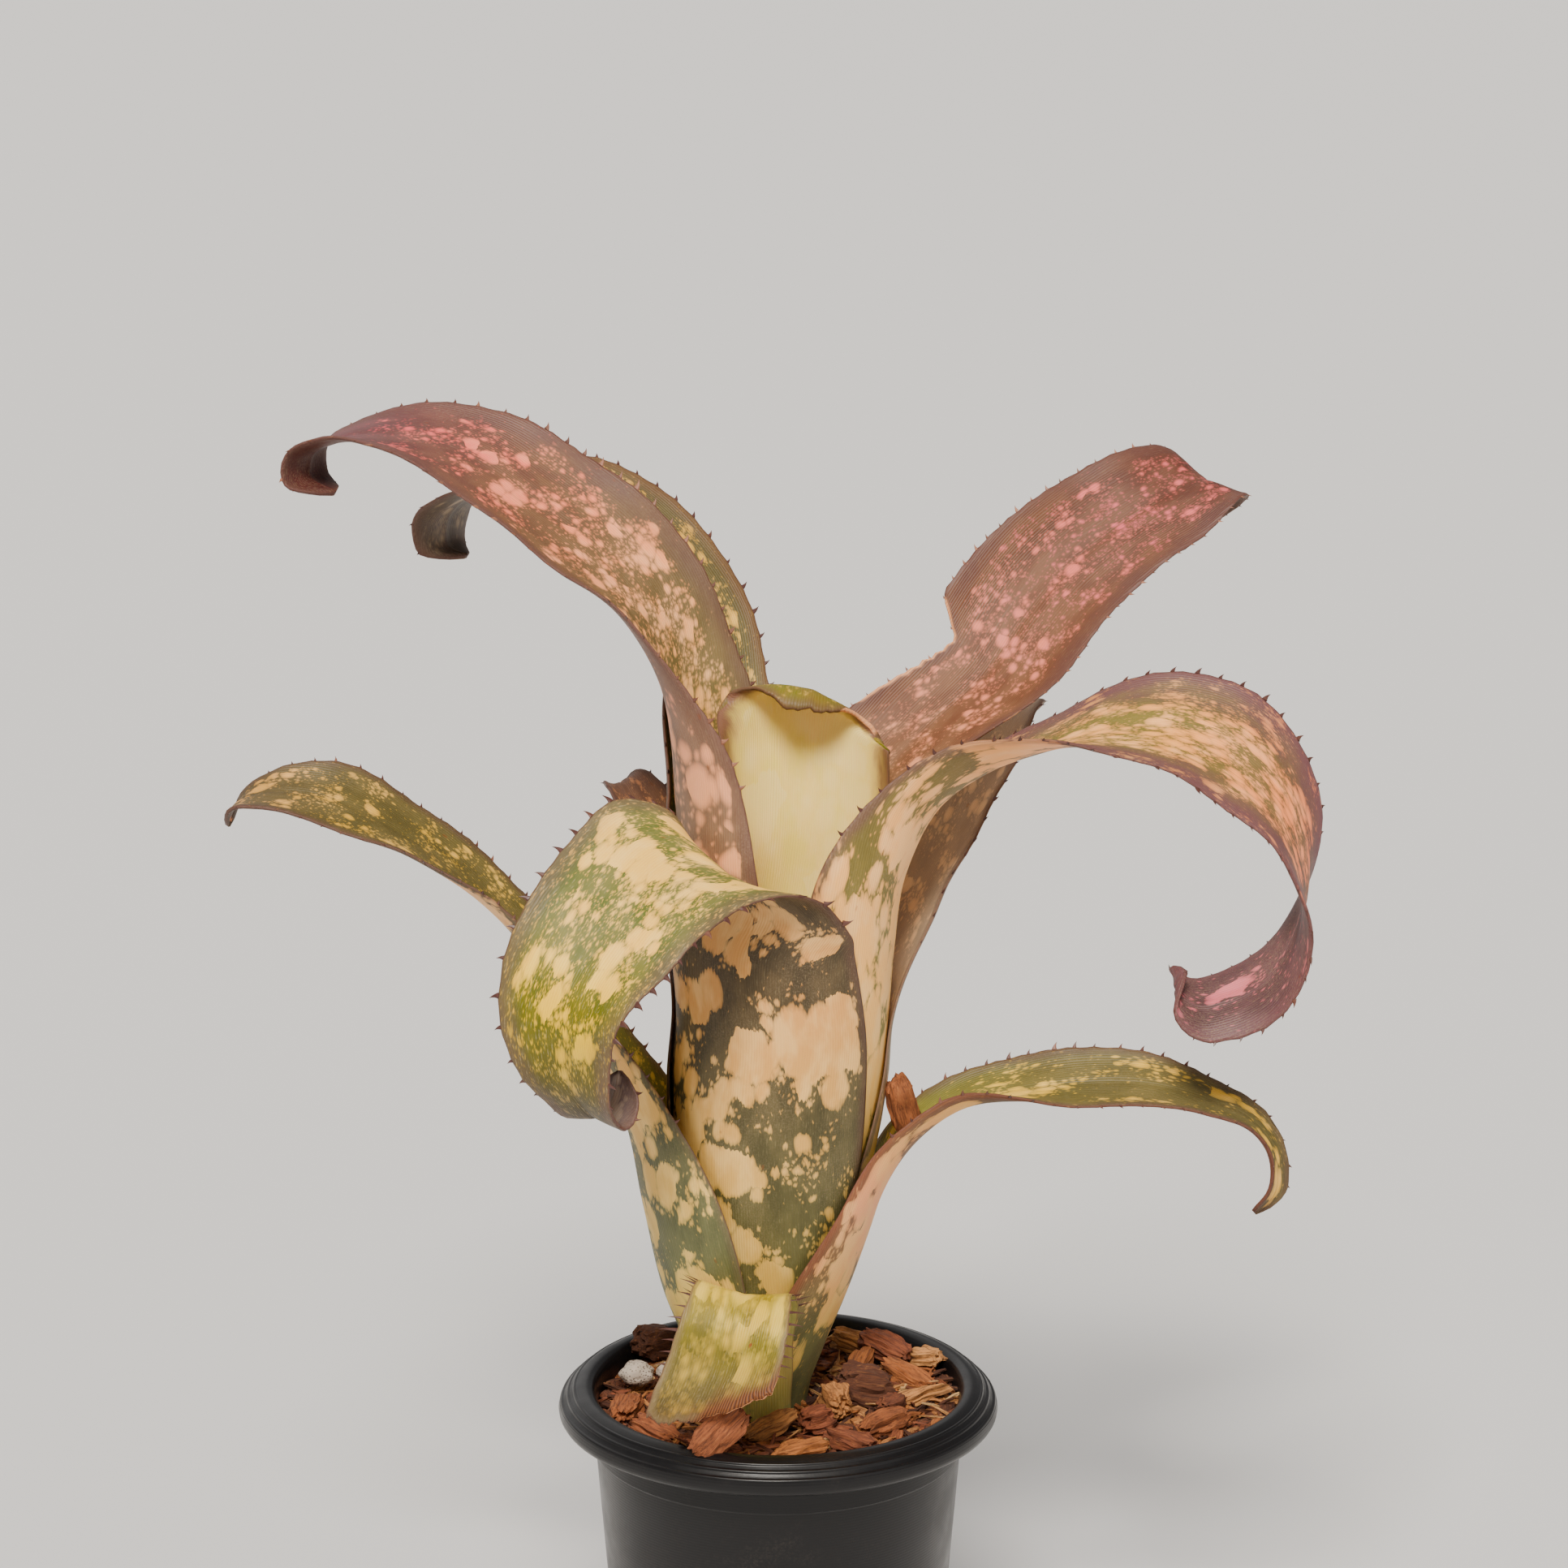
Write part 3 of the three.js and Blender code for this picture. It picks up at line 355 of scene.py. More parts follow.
# Cross-sections of a leaf at distances s, as a dict of arrays
def leaf_rows(name, s):
    rows, knots, _ = leaf_stations(LEAVES[name])
    v = through(knots, rows, s)
    across = unit(v[:, 3:6])
    inward = v[:, 6:9]
    inward = unit(inward - across * np.sum(inward * across, axis=1, keepdims=True))
    return dict(centre=v[:, :3], across=across, inward=inward, half=v[:, 9], cup=v[:, 10], thick=v[:, 11])


# Points of cross-sections: u is an array (rows, columns) from -1 to 1, lift moves them outwards
def section_points(rows, u, lift):
    cup = rows["cup"][:, None] * DEG
    radius = 2 * rows["half"][:, None] / cup
    angle = u * cup / 2
    reach = radius + lift
    centre = rows["centre"][:, None, :]
    across = rows["across"][:, None, :]
    inward = rows["inward"][:, None, :]
    return (
        centre
        + inward * radius[..., None]
        + across * (reach * np.sin(angle))[..., None]
        - inward * (reach * np.cos(angle))[..., None]
    )


# Share of the half width that is there, for nicks and tears in a margin: (side, from, deepest, to, depth)
NICKS = {
    "leaf_right_high": [(1, 146, 172, 180.5, 0.42)],
}


# Share of the half width that one margin keeps at distances s
def margin_share(name, s, side):
    share = np.ones_like(s)
    for nick_side, start, deepest, end, depth in NICKS.get(name, []):
        if nick_side != side:
            continue
        opening = np.clip((s - start) / (deepest - start), 0, 1)
        bite = np.minimum(opening, smooth((end - s) / (end - deepest)))
        share -= depth * bite * (1 + 0.06 * np.sin(s * 1.9) * (bite < 0.98))
    return share


# Torn ends of leaves: share of the half width, and how far short of the tip it ends there
TORN_LINES = {
    "leaf_centre": [
        (-1, 15), (-0.8, 13.5), (-0.6, 12.5), (-0.45, 9.5), (-0.2, 6.5), (0, 5.5), (0.3, 4), (0.55, 7),
        (0.8, 10), (1, 12),
    ],
    "leaf_front_low": [(-1, 1.5), (-0.6, 0.5), (-0.2, 1), (0.2, 2.5), (0.5, 4.5), (0.8, 7), (1, 9)],
}

# Dried edge of a torn end: its width in millimetres, the share of the half width where it starts,
# over which it grows and where it stops, and its strength
TORN_SCARS = {
    "leaf_centre": (0.9, -0.9, 0.1, -0.35, 1.0),
    "leaf_front_low": (7.0, -0.7, 0.9, 2.0, 0.95),
}

# Width of the dried edge at a nick, in millimetres
NICK_SCAR = 1.0


# How far short of the tip each column ends
def torn_end(name, u):
    if name not in TORN_LINES:
        return np.zeros_like(u)
    ragged = 0.5 * np.sin(11 * u) + 0.4 * np.sin(27 * u + 1) + 0.3 * np.sin(61 * u + 2)
    return through(*zip(*TORN_LINES[name]), u)[:, 0] + 0.7 * ragged


# Unevenness of a leaf: waves at its margins, folds and midrib, in millimetres
WAVE_HEIGHT = 0.33
FOLD_HEIGHT = 0.18
MIDRIB_HEIGHT = 0.35
RELIEF_GROWS_OVER = 30


# Gentle unevenness of a leaf's surface, which grows from the sheath's end
def leaf_relief(u, s, seed, blade_from):
    free = smooth((s - blade_from) / RELIEF_GROWS_OVER)[:, None]
    s = s[:, None]
    wave = np.abs(u) ** 3 * (
        np.sin(s / 4.1 + seed + 1.3 * np.sign(u)) + 0.7 * np.sin(s / 6.7 + 2 * seed)
    )
    folds = np.sin(5.5 * u + seed + s / 60) * FOLD_HEIGHT
    midrib = MIDRIB_HEIGHT * np.exp(-((u / 0.1) ** 2))
    return free * (WAVE_HEIGHT * wave + folds + midrib)


# Faces of a leaf's two sides and four rims, and which side's material each has
def leaf_faces(count, columns):
    total = count * columns
    index = np.arange(total).reshape(count, columns)
    a = index[:-1, :-1].ravel()
    b = index[:-1, 1:].ravel()
    c = index[1:, 1:].ravel()
    d = index[1:, :-1].ravel()
    blocks = [np.stack([a, d, c, b], 1), np.stack([a, b, c, d], 1) + total]
    for low, high, flip in (
        (index[:-1, 0], index[1:, 0], False),
        (index[:-1, -1], index[1:, -1], True),
        (index[0, :-1], index[0, 1:], True),
        (index[-1, :-1], index[-1, 1:], False),
    ):
        rim = np.stack([low, low + total, high + total, high], 1)
        blocks.append(rim[:, ::-1] if flip else rim)
    faces = np.concatenate(blocks).tolist()
    return faces, [0] * len(a) + [1] * (len(faces) - len(a))


# Closed mesh of one leaf. It keeps three values for its material: place across and along the leaf,
# the distance from the margin, and how far it is dried
def leaf_mesh(name, seed):
    leaf = LEAVES[name]
    _, knots, sheath_end = leaf_stations(leaf)
    length = knots[-1]
    count = int(round(length / LEAF_STEP)) + 1
    s = np.linspace(0, length, count)
    u = np.linspace(-1, 1, LEAF_COLUMNS + 1)
    u = np.sign(u) * (1 - (1 - np.abs(u)) ** COLUMN_POWER)
    inset = 1 - np.abs(u)
    torn = name in TORN_LINES
    rows = leaf_rows(name, s)
    if not torn:
        tip = np.clip((s - (length - TIP_LENGTH)) / TIP_LENGTH, 0, 1)
        rows["half"] = rows["half"] * np.sqrt(np.clip(1 - tip**2, TIP_LEAST, 1))
    share = np.where(u < 0, margin_share(name, s, -1)[:, None], margin_share(name, s, 1)[:, None])
    grid_u = u * share
    # Scallops between the spines
    past = s - sheath_end - leaf["spines"]
    spiny = smooth((past + SPINE_PITCH) / SPINE_PITCH)
    waves = np.abs(np.sin(math.pi * past / SPINE_PITCH))
    scallop = 1 - SCALLOP_DEPTH * spiny * waves / np.maximum(rows["half"], 2)
    grid_u = np.where(np.abs(u) > 0.9, grid_u * scallop[:, None], grid_u)
    relief = leaf_relief(grid_u, s, seed, sheath_end)
    edge = inset * np.max(rows["half"])
    thin = MARGIN_THIN + (1 - MARGIN_THIN) * smooth(edge / MARGIN_THINS_OVER)
    half_thick = rows["thick"][:, None] / 2 * thin
    inner = section_points(rows, grid_u, relief - half_thick)
    outer = section_points(rows, grid_u, relief + half_thick)
    short = torn_end(name, u)
    keep = np.repeat(s[:, None], len(u), axis=1)
    if torn:
        # Every column is squeezed along itself so that it stops at the torn line
        start = length - TORN_LENGTH
        last = np.clip(keep - start, 0, None)
        keep = np.minimum(keep, start) + last * (TORN_LENGTH - short) / TORN_LENGTH
        for sheet in (inner, outer):
            for j in range(len(u)):
                for axis in range(3):
                    sheet[:, j, axis] = np.interp(keep[:, j], s, sheet[:, j, axis])
    margin = inset * rows["half"][:, None]
    scar = smooth((1 - share) / 0.1) * np.exp(-margin / NICK_SCAR)
    if torn:
        left = np.maximum(length - short - keep, 0)
        margin = np.minimum(margin, left)
        width, start, fade, stop, most = TORN_SCARS[name]
        scar = np.exp(-left / width) * smooth((u - start) / fade) * smooth((stop - u) / 0.1) * most
    points = np.concatenate([inner.reshape(-1, 3), outer.reshape(-1, 3)]) * MM
    place = np.stack([grid_u * rows["half"][:, None], keep, np.zeros_like(keep)], -1).reshape(-1, 3)
    place = np.concatenate([place, place + [0, 0, SIDE_SHIFT]])
    faces, sides = leaf_faces(count, len(u))
    margin = np.tile(margin.reshape(-1), 2)
    scar = np.tile(scar.reshape(-1), 2)
    return new_mesh(name, points, faces, sides, place=place, margin=margin, scar=scar)


# One number or vector for every point of a mesh
def store(mesh, name, values):
    values = np.asarray(values, np.float32)
    kind, key = ("FLOAT", "value") if values.ndim == 1 else ("FLOAT_VECTOR", "vector")
    mesh.attributes.new(name, kind, "POINT").data.foreach_set(key, values.ravel())


# Mesh with faces pointing outwards and its own attributes
def new_mesh(name, points, faces, sides=None, **attributes):
    mesh = bpy.data.meshes.new(name)
    mesh.from_pydata([tuple(p) for p in points], [], faces)
    mesh.update()
    mesh.calc_loop_triangles()
    corners = np.asarray(points)
    a, b, c = (corners[[t.vertices[k] for t in mesh.loop_triangles]] for k in range(3))
    if np.sum(a * np.cross(b, c)) < 0:
        mesh.flip_normals()
    if sides is not None:
        mesh.polygons.foreach_set("material_index", np.array(sides, np.int32))
    for key, values in attributes.items():
        store(mesh, key, values)
    mesh.shade_smooth()
    return mesh


# New object in the scene, at the origin
def in_scene(name, data):
    thing = bpy.data.objects.new(name, data)
    bpy.context.scene.collection.objects.link(thing)
    return thing


# Finished piece on the part's one body
def new_piece(name, mesh, materials, replaced=()):
    piece = in_scene(name, mesh)
    for material in materials:
        mesh.materials.append(material)
    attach(piece, "root")
    if replaced:
        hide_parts(*replaced)
    return piece


# Node helpers
def put(tree, kind, inputs=None, **settings):
    node = tree.nodes.new(kind)
    for key, value in settings.items():
        setattr(node, key, value)
    for key, value in (inputs or {}).items():
        if isinstance(value, bpy.types.NodeSocket):
            tree.links.new(value, node.inputs[key])
        else:
            node.inputs[key].default_value = value
    return node


# One operation on numbers
def maths(tree, operation, a, b=0.0, clamp=False):
    return put(tree, "ShaderNodeMath", {0: a, 1: b}, operation=operation, use_clamp=clamp).outputs[0]


def times(tree, a, b, clamp=False):
    return maths(tree, "MULTIPLY", a, b, clamp)


def plus(tree, a, b):
    return maths(tree, "ADD", a, b)


def minus(tree, a, b):
    return maths(tree, "SUBTRACT", a, b)


# One operation on vectors
def vector_maths(tree, operation, a, b):
    return put(tree, "ShaderNodeVectorMath", {0: a, 1: b}, operation=operation).outputs[0]


def stretched(tree, vector, by):
    return vector_maths(tree, "MULTIPLY", vector, by)


def shifted(tree, vector, by):
    return vector_maths(tree, "ADD", vector, by)


# A random colour as a vector round zero
def centred(tree, colour):
    return vector_maths(tree, "SUBTRACT", colour, (0.5, 0.5, 0.5))


# A vector times a number
def scaled(tree, vector, by):
    return put(tree, "ShaderNodeVectorMath", {0: vector, "Scale": by}, operation="SCALE").outputs[0]


# A vector from its coordinates
def vector(tree, x=0.0, y=0.0, z=0.0):
    return put(tree, "ShaderNodeCombineXYZ", {0: x, 1: y, 2: z}).outputs[0]


# One coordinate of a vector: 0, 1 or 2
def part_of(tree, whole, index):
    return put(tree, "ShaderNodeSeparateXYZ", {0: whole}).outputs[index]


# Place on a piece in metres
def own_place(tree):
    return put(tree, "ShaderNodeTexCoord").outputs["Object"]


# Soft step of a value between two levels
def steps(tree, value, low, high, to_low=0.0, to_high=1.0):
    node = put(
        tree, "ShaderNodeMapRange",
        {"Value": value, "From Min": low, "From Max": high, "To Min": to_low, "To Max": to_high},
        interpolation_type="SMOOTHSTEP",
    )
    return node.outputs["Result"]


# Mix of two colours
def mixed(tree, factor, a, b):
    node = put(tree, "ShaderNodeMix", {0: factor, 6: a, 7: b}, data_type="RGBA")
    return node.outputs[2]


# Colours, or grey levels, at places along a length
def stops(tree, factor, colours, length):
    node = put(tree, "ShaderNodeValToRGB", {"Fac": factor})
    ramp = node.color_ramp
    while len(ramp.elements) < len(colours):
        ramp.elements.new(0.5)
    for element, (at, colour) in zip(ramp.elements, colours):
        element.position = at / length
        element.color = seen(colour) if isinstance(colour, str) else (colour, colour, colour, 1)
    return node.outputs["Color"]


# Cloudy values between 0 and 1
def noise_value(tree, where, scale, detail=2.0, roughness=0.5):
    inputs = {"Vector": where, "Scale": scale, "Detail": detail, "Roughness": roughness}
    return put(tree, "ShaderNodeTexNoise", inputs).outputs["Fac"]


# Colour between two rows of tones along a leaf
def two_tones(tree, factor, along, tones, length):
    places, *rows = tones
    ramps = [stops(tree, along, list(zip(places, row.split())), length) for row in rows]
    return mixed(tree, factor, *ramps)


# Node group with named inputs and outputs, and their sockets inside it
def new_group(name, inputs, outputs, kind="ShaderNodeTree"):
    tree = bpy.data.node_groups.new(name, kind)
    for label, socket_kind, *value in inputs:
        socket = tree.interface.new_socket(label, in_out="INPUT", socket_type=socket_kind)
        if value:
            socket.default_value = value[0]
    for label, socket_kind in outputs:
        tree.interface.new_socket(label, in_out="OUTPUT", socket_type=socket_kind)
    return tree, tree.nodes.new("NodeGroupInput").outputs, tree.nodes.new("NodeGroupOutput").inputs


# A group with its inputs filled in
def use_group(tree, group, inputs):
    return put(tree, "ShaderNodeGroup", inputs, node_tree=group)


# Sizes of a leaf's spots: cell against the leaf's spot size, largest radius in cells, share of fine
# ones, and how much wider they grow in a crowd
SPOT_LAYERS = [
    (0.6, 0.52, 0.0, 0.36),
    (0.33, 0.48, 0.06, 0.22),
    (0.17, 0.42, 0.2, 0.0),
    (0.09, 0.36, 0.28, 0.0),
]


# Cream patches: round spots of several sizes that run together where they are many
def patches_group():
    usual = {
        "Seed": 0.0, "Size": 10.0, "Stretch": 1.3, "Cover": 0.5, "Fine": 0.5, "Feather": 0.15, "Merge": 1.0,
        "Clump": 1.0, "Fray": 1.5,
    }
    tree, given, out = new_group(
        "leaf_patches",
        [("Place", "NodeSocketVector"), *((key, "NodeSocketFloat", value) for key, value in usual.items())],
        [("Mask", "NodeSocketFloat"), ("Depth", "NodeSocketFloat")],
    )
    seed = given["Seed"]
    size = given["Size"]
    where = shifted(tree, given["Place"], vector(tree, times(tree, seed, 13.7), times(tree, seed, 51.0)))
    # Edges frayed along the ribs
    streak = minus(tree, noise_value(tree, stretched(tree, where, (1.9, 0.12, 0)), 1.0, 2.0), 0.5)
    where = shifted(tree, where, vector(tree, y=times(tree, streak, given["Fray"])))
    where = stretched(tree, where, vector(tree, 1.0, maths(tree, "DIVIDE", 1.0, given["Stretch"])))
    where = scaled(tree, where, maths(tree, "DIVIDE", 1.0, size))
    wobble = put(tree, "ShaderNodeTexNoise", {"Vector": where, "Scale": 1.6, "Detail": 2.0})
    where = shifted(tree, where, scaled(tree, centred(tree, wobble.outputs["Color"]), 0.28))

    def crowd_at(at):
        uneven = times(tree, minus(tree, noise_value(tree, at, 0.95, 1.0), 0.5), given["Clump"])
        return plus(tree, uneven, given["Cover"])

    # Where spots are most, they run together into one patch
    core = times(tree, minus(tree, crowd_at(where), 0.61), 3.0)
    total = times(tree, minus(tree, core, minus(tree, 1.0, given["Merge"])), size)
    for cell, most, fine, spread in SPOT_LAYERS:
        cells = put(
            tree, "ShaderNodeTexVoronoi", {"Vector": where, "Scale": 1 / cell, "Randomness": 0.9},
            voronoi_dimensions="2D",
        ).outputs
        crowd = crowd_at(cells["Position"])
        share = plus(tree, steps(tree, crowd, 0.36, 0.64), times(tree, given["Fine"], fine))
        dice = put(tree, "ShaderNodeSeparateColor", {0: cells["Color"]}).outputs
        present = times(tree, minus(tree, share, dice[0]), 2.5, clamp=True)
        grown = plus(tree, times(tree, dice[1], 0.35 * most), 0.65 * most)
        crowded = times(tree, steps(tree, crowd, 0.5, 0.58, 0.0, spread), given["Merge"])
        radius = times(tree, maths(tree, "SQRT", present), plus(tree, grown, crowded))
        depth = times(tree, minus(tree, radius, cells["Distance"]), times(tree, size, cell))
        # A spot that isn't there lies well outside
        absent = times(tree, maths(tree, "LESS_THAN", present, 0.001), 4.0)
        total = maths(tree, "MAXIMUM", total, minus(tree, depth, absent))
    feather = given["Feather"]
    tree.links.new(steps(tree, total, times(tree, feather, -1.0), feather), out["Mask"])
    tree.links.new(total, out["Depth"])
    return tree


# Fine lengthwise ribs of a leaf, and silvery scales that lie on them
def ribs_group():
    tree, given, out = new_group(
        "leaf_ribs",
        [("Place", "NodeSocketVector"), ("Pitch", "NodeSocketFloat", 0.5)],
        [("Ribs", "NodeSocketFloat"), ("Silver", "NodeSocketFloat")],
    )
    place = given["Place"]
    wander = times(tree, noise_value(tree, stretched(tree, place, (0.3, 0.03, 1)), 1.0), 1.2)
    turns = maths(tree, "DIVIDE", plus(tree, part_of(tree, place, 0), wander), given["Pitch"])
    wave = maths(tree, "SINE", times(tree, turns, 2 * math.pi))
    ribs = plus(tree, times(tree, wave, 0.5), 0.5)
    broken = noise_value(tree, stretched(tree, place, (2.2, 0.5, 1)), 1.0, 3.0, 0.65)
    tree.links.new(ribs, out["Ribs"])
    tree.links.new(times(tree, steps(tree, broken, 0.5, 0.7), ribs), out["Silver"])
    return tree


# Group that turns a place on a leaf and an amount into a mask
def mask_group(name):
    inputs = [("Place", "NodeSocketVector"), ("Amount", "NodeSocketFloat", 0.5)]
    return new_group(name, inputs, [("Mask", "NodeSocketFloat")])


# Stipple of tiny pale scales
def frost_group():
    tree, given, out = mask_group("leaf_frost")
    grain = noise_value(tree, stretched(tree, given["Place"], (2.6, 2.0, 1)), 1.0, 2.0, 0.7)
    cloud = noise_value(tree, stretched(tree, given["Place"], (0.09, 0.05, 1)), 1.0, 2.0)
    level = times(tree, steps(tree, grain, 0.42, 0.72), steps(tree, cloud, 0.3, 0.75))
    tree.links.new(times(tree, level, given["Amount"], clamp=True), out["Mask"])
    return tree


# Sparse rusty blemishes
def blemish_group():
    tree, given, out = mask_group("leaf_blemish")
    where = stretched(tree, given["Place"], (1.0, 0.6, 1))
    cells = put(tree, "ShaderNodeTexVoronoi", {"Vector": where, "Scale": 0.16, "Randomness": 1.0}).outputs
    wobble = times(tree, noise_value(tree, where, 1.4, 2.0), 0.1)
    spot = steps(tree, plus(tree, cells["Distance"], wobble), 0.09, 0.13, 1.0, 0.0)
    chance = put(tree, "ShaderNodeSeparateColor", {0: cells["Color"]}).outputs[1]
    some = steps(tree, chance, 0.55, 0.6, 0.0, given["Amount"])
    tree.links.new(times(tree, spot, some), out["Mask"])
    return tree


# Groups that every leaf's material uses, built once by main
GROUPS = {}


# New material, its tree and its shader
def plain_material(name):
    material = bpy.data.materials.new(name)
    material.use_nodes = True
    tree = material.node_tree
    shader = tree.nodes["Principled BSDF"]
    return material, tree, shader


# Value that a mesh keeps for its material
def read(tree, attribute, output):
    return put(tree, "ShaderNodeAttribute", attribute_name=attribute).outputs[output]


# Colour, roughness and relief of a material; relief is a height, its strength and its depth in metres
def surface(tree, shader, colour, rough, relief=None):
    tree.links.new(colour, shader.inputs["Base Color"])
    tree.links.new(rough, shader.inputs["Roughness"])
    if relief:
        bump = put(tree, "ShaderNodeBump", dict(zip(("Height", "Strength", "Distance"), relief)))
        tree.links.new(bump.outputs["Normal"], shader.inputs["Normal"])


# Tones that all leaves share
SCALE_TONE = "b8ac92"
FROST_TONE = "9a8a7a"
RIB_TONE = "a98a60"
RUST_TONE = "7d4426"
EDGE_TONE = "5c403c"
RIB_PITCH = 0.6

# Values of a look that shape its spots
SPOT_VALUES = ("size", "stretch", "fine", "feather", "merge", "clump", "fray")


# One side of one leaf
def leaf_material(name, look, length, seed):
    material, tree, shader = plain_material(name)
    place = read(tree, "place", "Vector")
    margin = read(tree, "margin", "Fac")
    dried = read(tree, "scar", "Fac")
    along = maths(tree, "DIVIDE", part_of(tree, place, 1), length)
    cover = put(tree, "ShaderNodeSeparateColor", {0: stops(tree, along, look["cover"], length)}).outputs[0]
    ribs = use_group(tree, GROUPS["ribs"], {"Place": place, "Pitch": RIB_PITCH}).outputs
    frost = use_group(tree, GROUPS["frost"], {"Place": place, "Amount": look["frost"]}).outputs["Mask"]
    rust = use_group(tree, GROUPS["blemish"], {"Place": place, "Amount": look["blemish"]}).outputs["Mask"]
    clouds = noise_value(tree, stretched(tree, place, (0.16, 0.07, 1)), 1.0, 3.0, 0.6)
    # Darker band along the margins, where the patches are fewer
    near = look["margin_width"]
    ragged = plus(tree, margin, times(tree, minus(tree, clouds, 0.5), near))
    band = steps(tree, ragged, near * 0.1, near, 1.0, 0.0)
    shape = {key.title(): look[key] for key in SPOT_VALUES}
    shape["Cover"] = minus(tree, cover, times(tree, band, look["margin_bare"]))
    spots = use_group(tree, GROUPS["patches"], {"Place": place, "Seed": seed, **shape}).outputs
    ground = two_tones(tree, steps(tree, clouds, 0.35, 0.65), along, look["ground"], length)
    ground = mixed(tree, times(tree, band, look["margin_tint"]), ground, seen(look["margin"]))
    ground = mixed(tree, times(tree, ribs["Silver"], look["silver"]), ground, seen(SCALE_TONE))
    ground = mixed(tree, frost, ground, seen(FROST_TONE))
    patch = two_tones(tree, steps(tree, clouds, 0.4, 0.62), along, look["patch"], length)
    patch = mixed(tree, times(tree, ribs["Ribs"], 0.08), patch, seen(RIB_TONE))
    patch = mixed(tree, times(tree, band, 0.4), patch, seen(look["margin"]))
    fringe = mixed(tree, 0.4, patch, ground)
    patch = mixed(tree, steps(tree, spots["Depth"], 0.0, look["soft"]), fringe, patch)
    colour = mixed(tree, times(tree, spots["Mask"], look["strength"]), ground, patch)
    colour = mixed(tree, rust, colour, seen(RUST_TONE))
    colour = mixed(tree, times(tree, steps(tree, margin, 0.1, 0.5, 1.0, 0.0), 0.5), colour, seen(EDGE_TONE))
    # Dried, fibrous places at nicks and torn ends
    fibre = times(tree, minus(tree, clouds, 0.5), 0.8)
    scar = steps(tree, plus(tree, dried, fibre), 0.2, 0.7)
    scar_colour = mixed(tree, ribs["Ribs"], *(seen(tone) for tone in look["scar"]))
    colour = mixed(tree, times(tree, scar, steps(tree, dried, 0.02, 0.2)), colour, scar_colour)
    rough = plus(tree, times(tree, frost, 0.2), look["rough"])
    height = plus(tree, times(tree, ribs["Ribs"], 0.8), clouds)
    surface(tree, shader, colour, rough, (height, 0.4, 0.00015))
    shader.inputs["Specular IOR Level"].default_value = 0.3
    shader.inputs["Subsurface Weight"].default_value = 0.12
    shader.inputs["Subsurface Radius"].default_value = (1.0, 0.7, 0.3)
    shader.inputs["Subsurface Scale"].default_value = 0.0015
    return material


# What the two sides of most leaves look like. Ground and patch have places in millimetres from the
# foot and two rows of tones there; cover is the share of patches against such places
UNDER = dict(
    ground=(
        (0, 50, 110, 180, 320),
        "6a6e4c 53563e 4c4836 4e4236 453730",
        "7c7e58 68694e 625a46 625044 564640",
    ),
    patch=((0, 50, 110, 320), "d2c088 d6bc8c dcb48e d0a08a", "cdbf7e e4cc9e ecceaa dcae98"),
    cover=[(0, 0.44), (30, 0.48), (50, 0.56), (90, 0.58), (130, 0.54), (320, 0.42)], size=12.0,
    stretch=1.3, fine=0.25, feather=0.18, soft=0.9, strength=0.96, margin="5e4840", margin_width=4.0,
    margin_bare=0.22, margin_tint=0.6, frost=0.2, silver=0.16, blemish=0.3, rough=0.5, merge=1.0,
    clump=1.0, fray=2.5, scar=("c89880", "dcb49c"),
)
OLIVE = dict(
    UNDER,
    ground=((0, 110, 180, 320), "8d9050 5a5436 544c32 4a3e2c", "9aa05c 6a6242 62583c 564834"),
    patch=((0, 110, 180, 320), "dccf90 d4b87e ceac78 c29a74", "e0d59c dec490 d8b88c cca484"),
    cover=[(0, 0.5), (110, 0.45), (320, 0.45)], size=6.0, stretch=1.4, fine=0.3, margin="54403a",
    margin_width=3.0, frost=0.2, silver=0.1, merge=0.1, clump=0.6, fray=1.2,
)
PINK = dict(
    UNDER,
    ground=(
        (0, 120, 170, 220, 260, 320),
        "b9ac78 746c44 665a40 664a40 5c3c3e 48282e",
        "c2b482 827850 786850 745848 6c484a 563034",
    ),
    patch=(
        (0, 120, 165, 215, 260, 320),
        "e8d6a4 f2d2a6 f0c09e ea9e90 dc7c84 c86070",
        "e8d6a4 f6dcb4 f2caac eeae9c e28c8e cc6c78",
    ),
    cover=[(0, 0.5), (120, 0.56), (165, 0.52), (215, 0.48), (250, 0.44), (320, 0.28)], size=8.0,
    stretch=1.35, fine=0.5, margin="604844", margin_width=6.0, frost=0.2, silver=0.1,
)

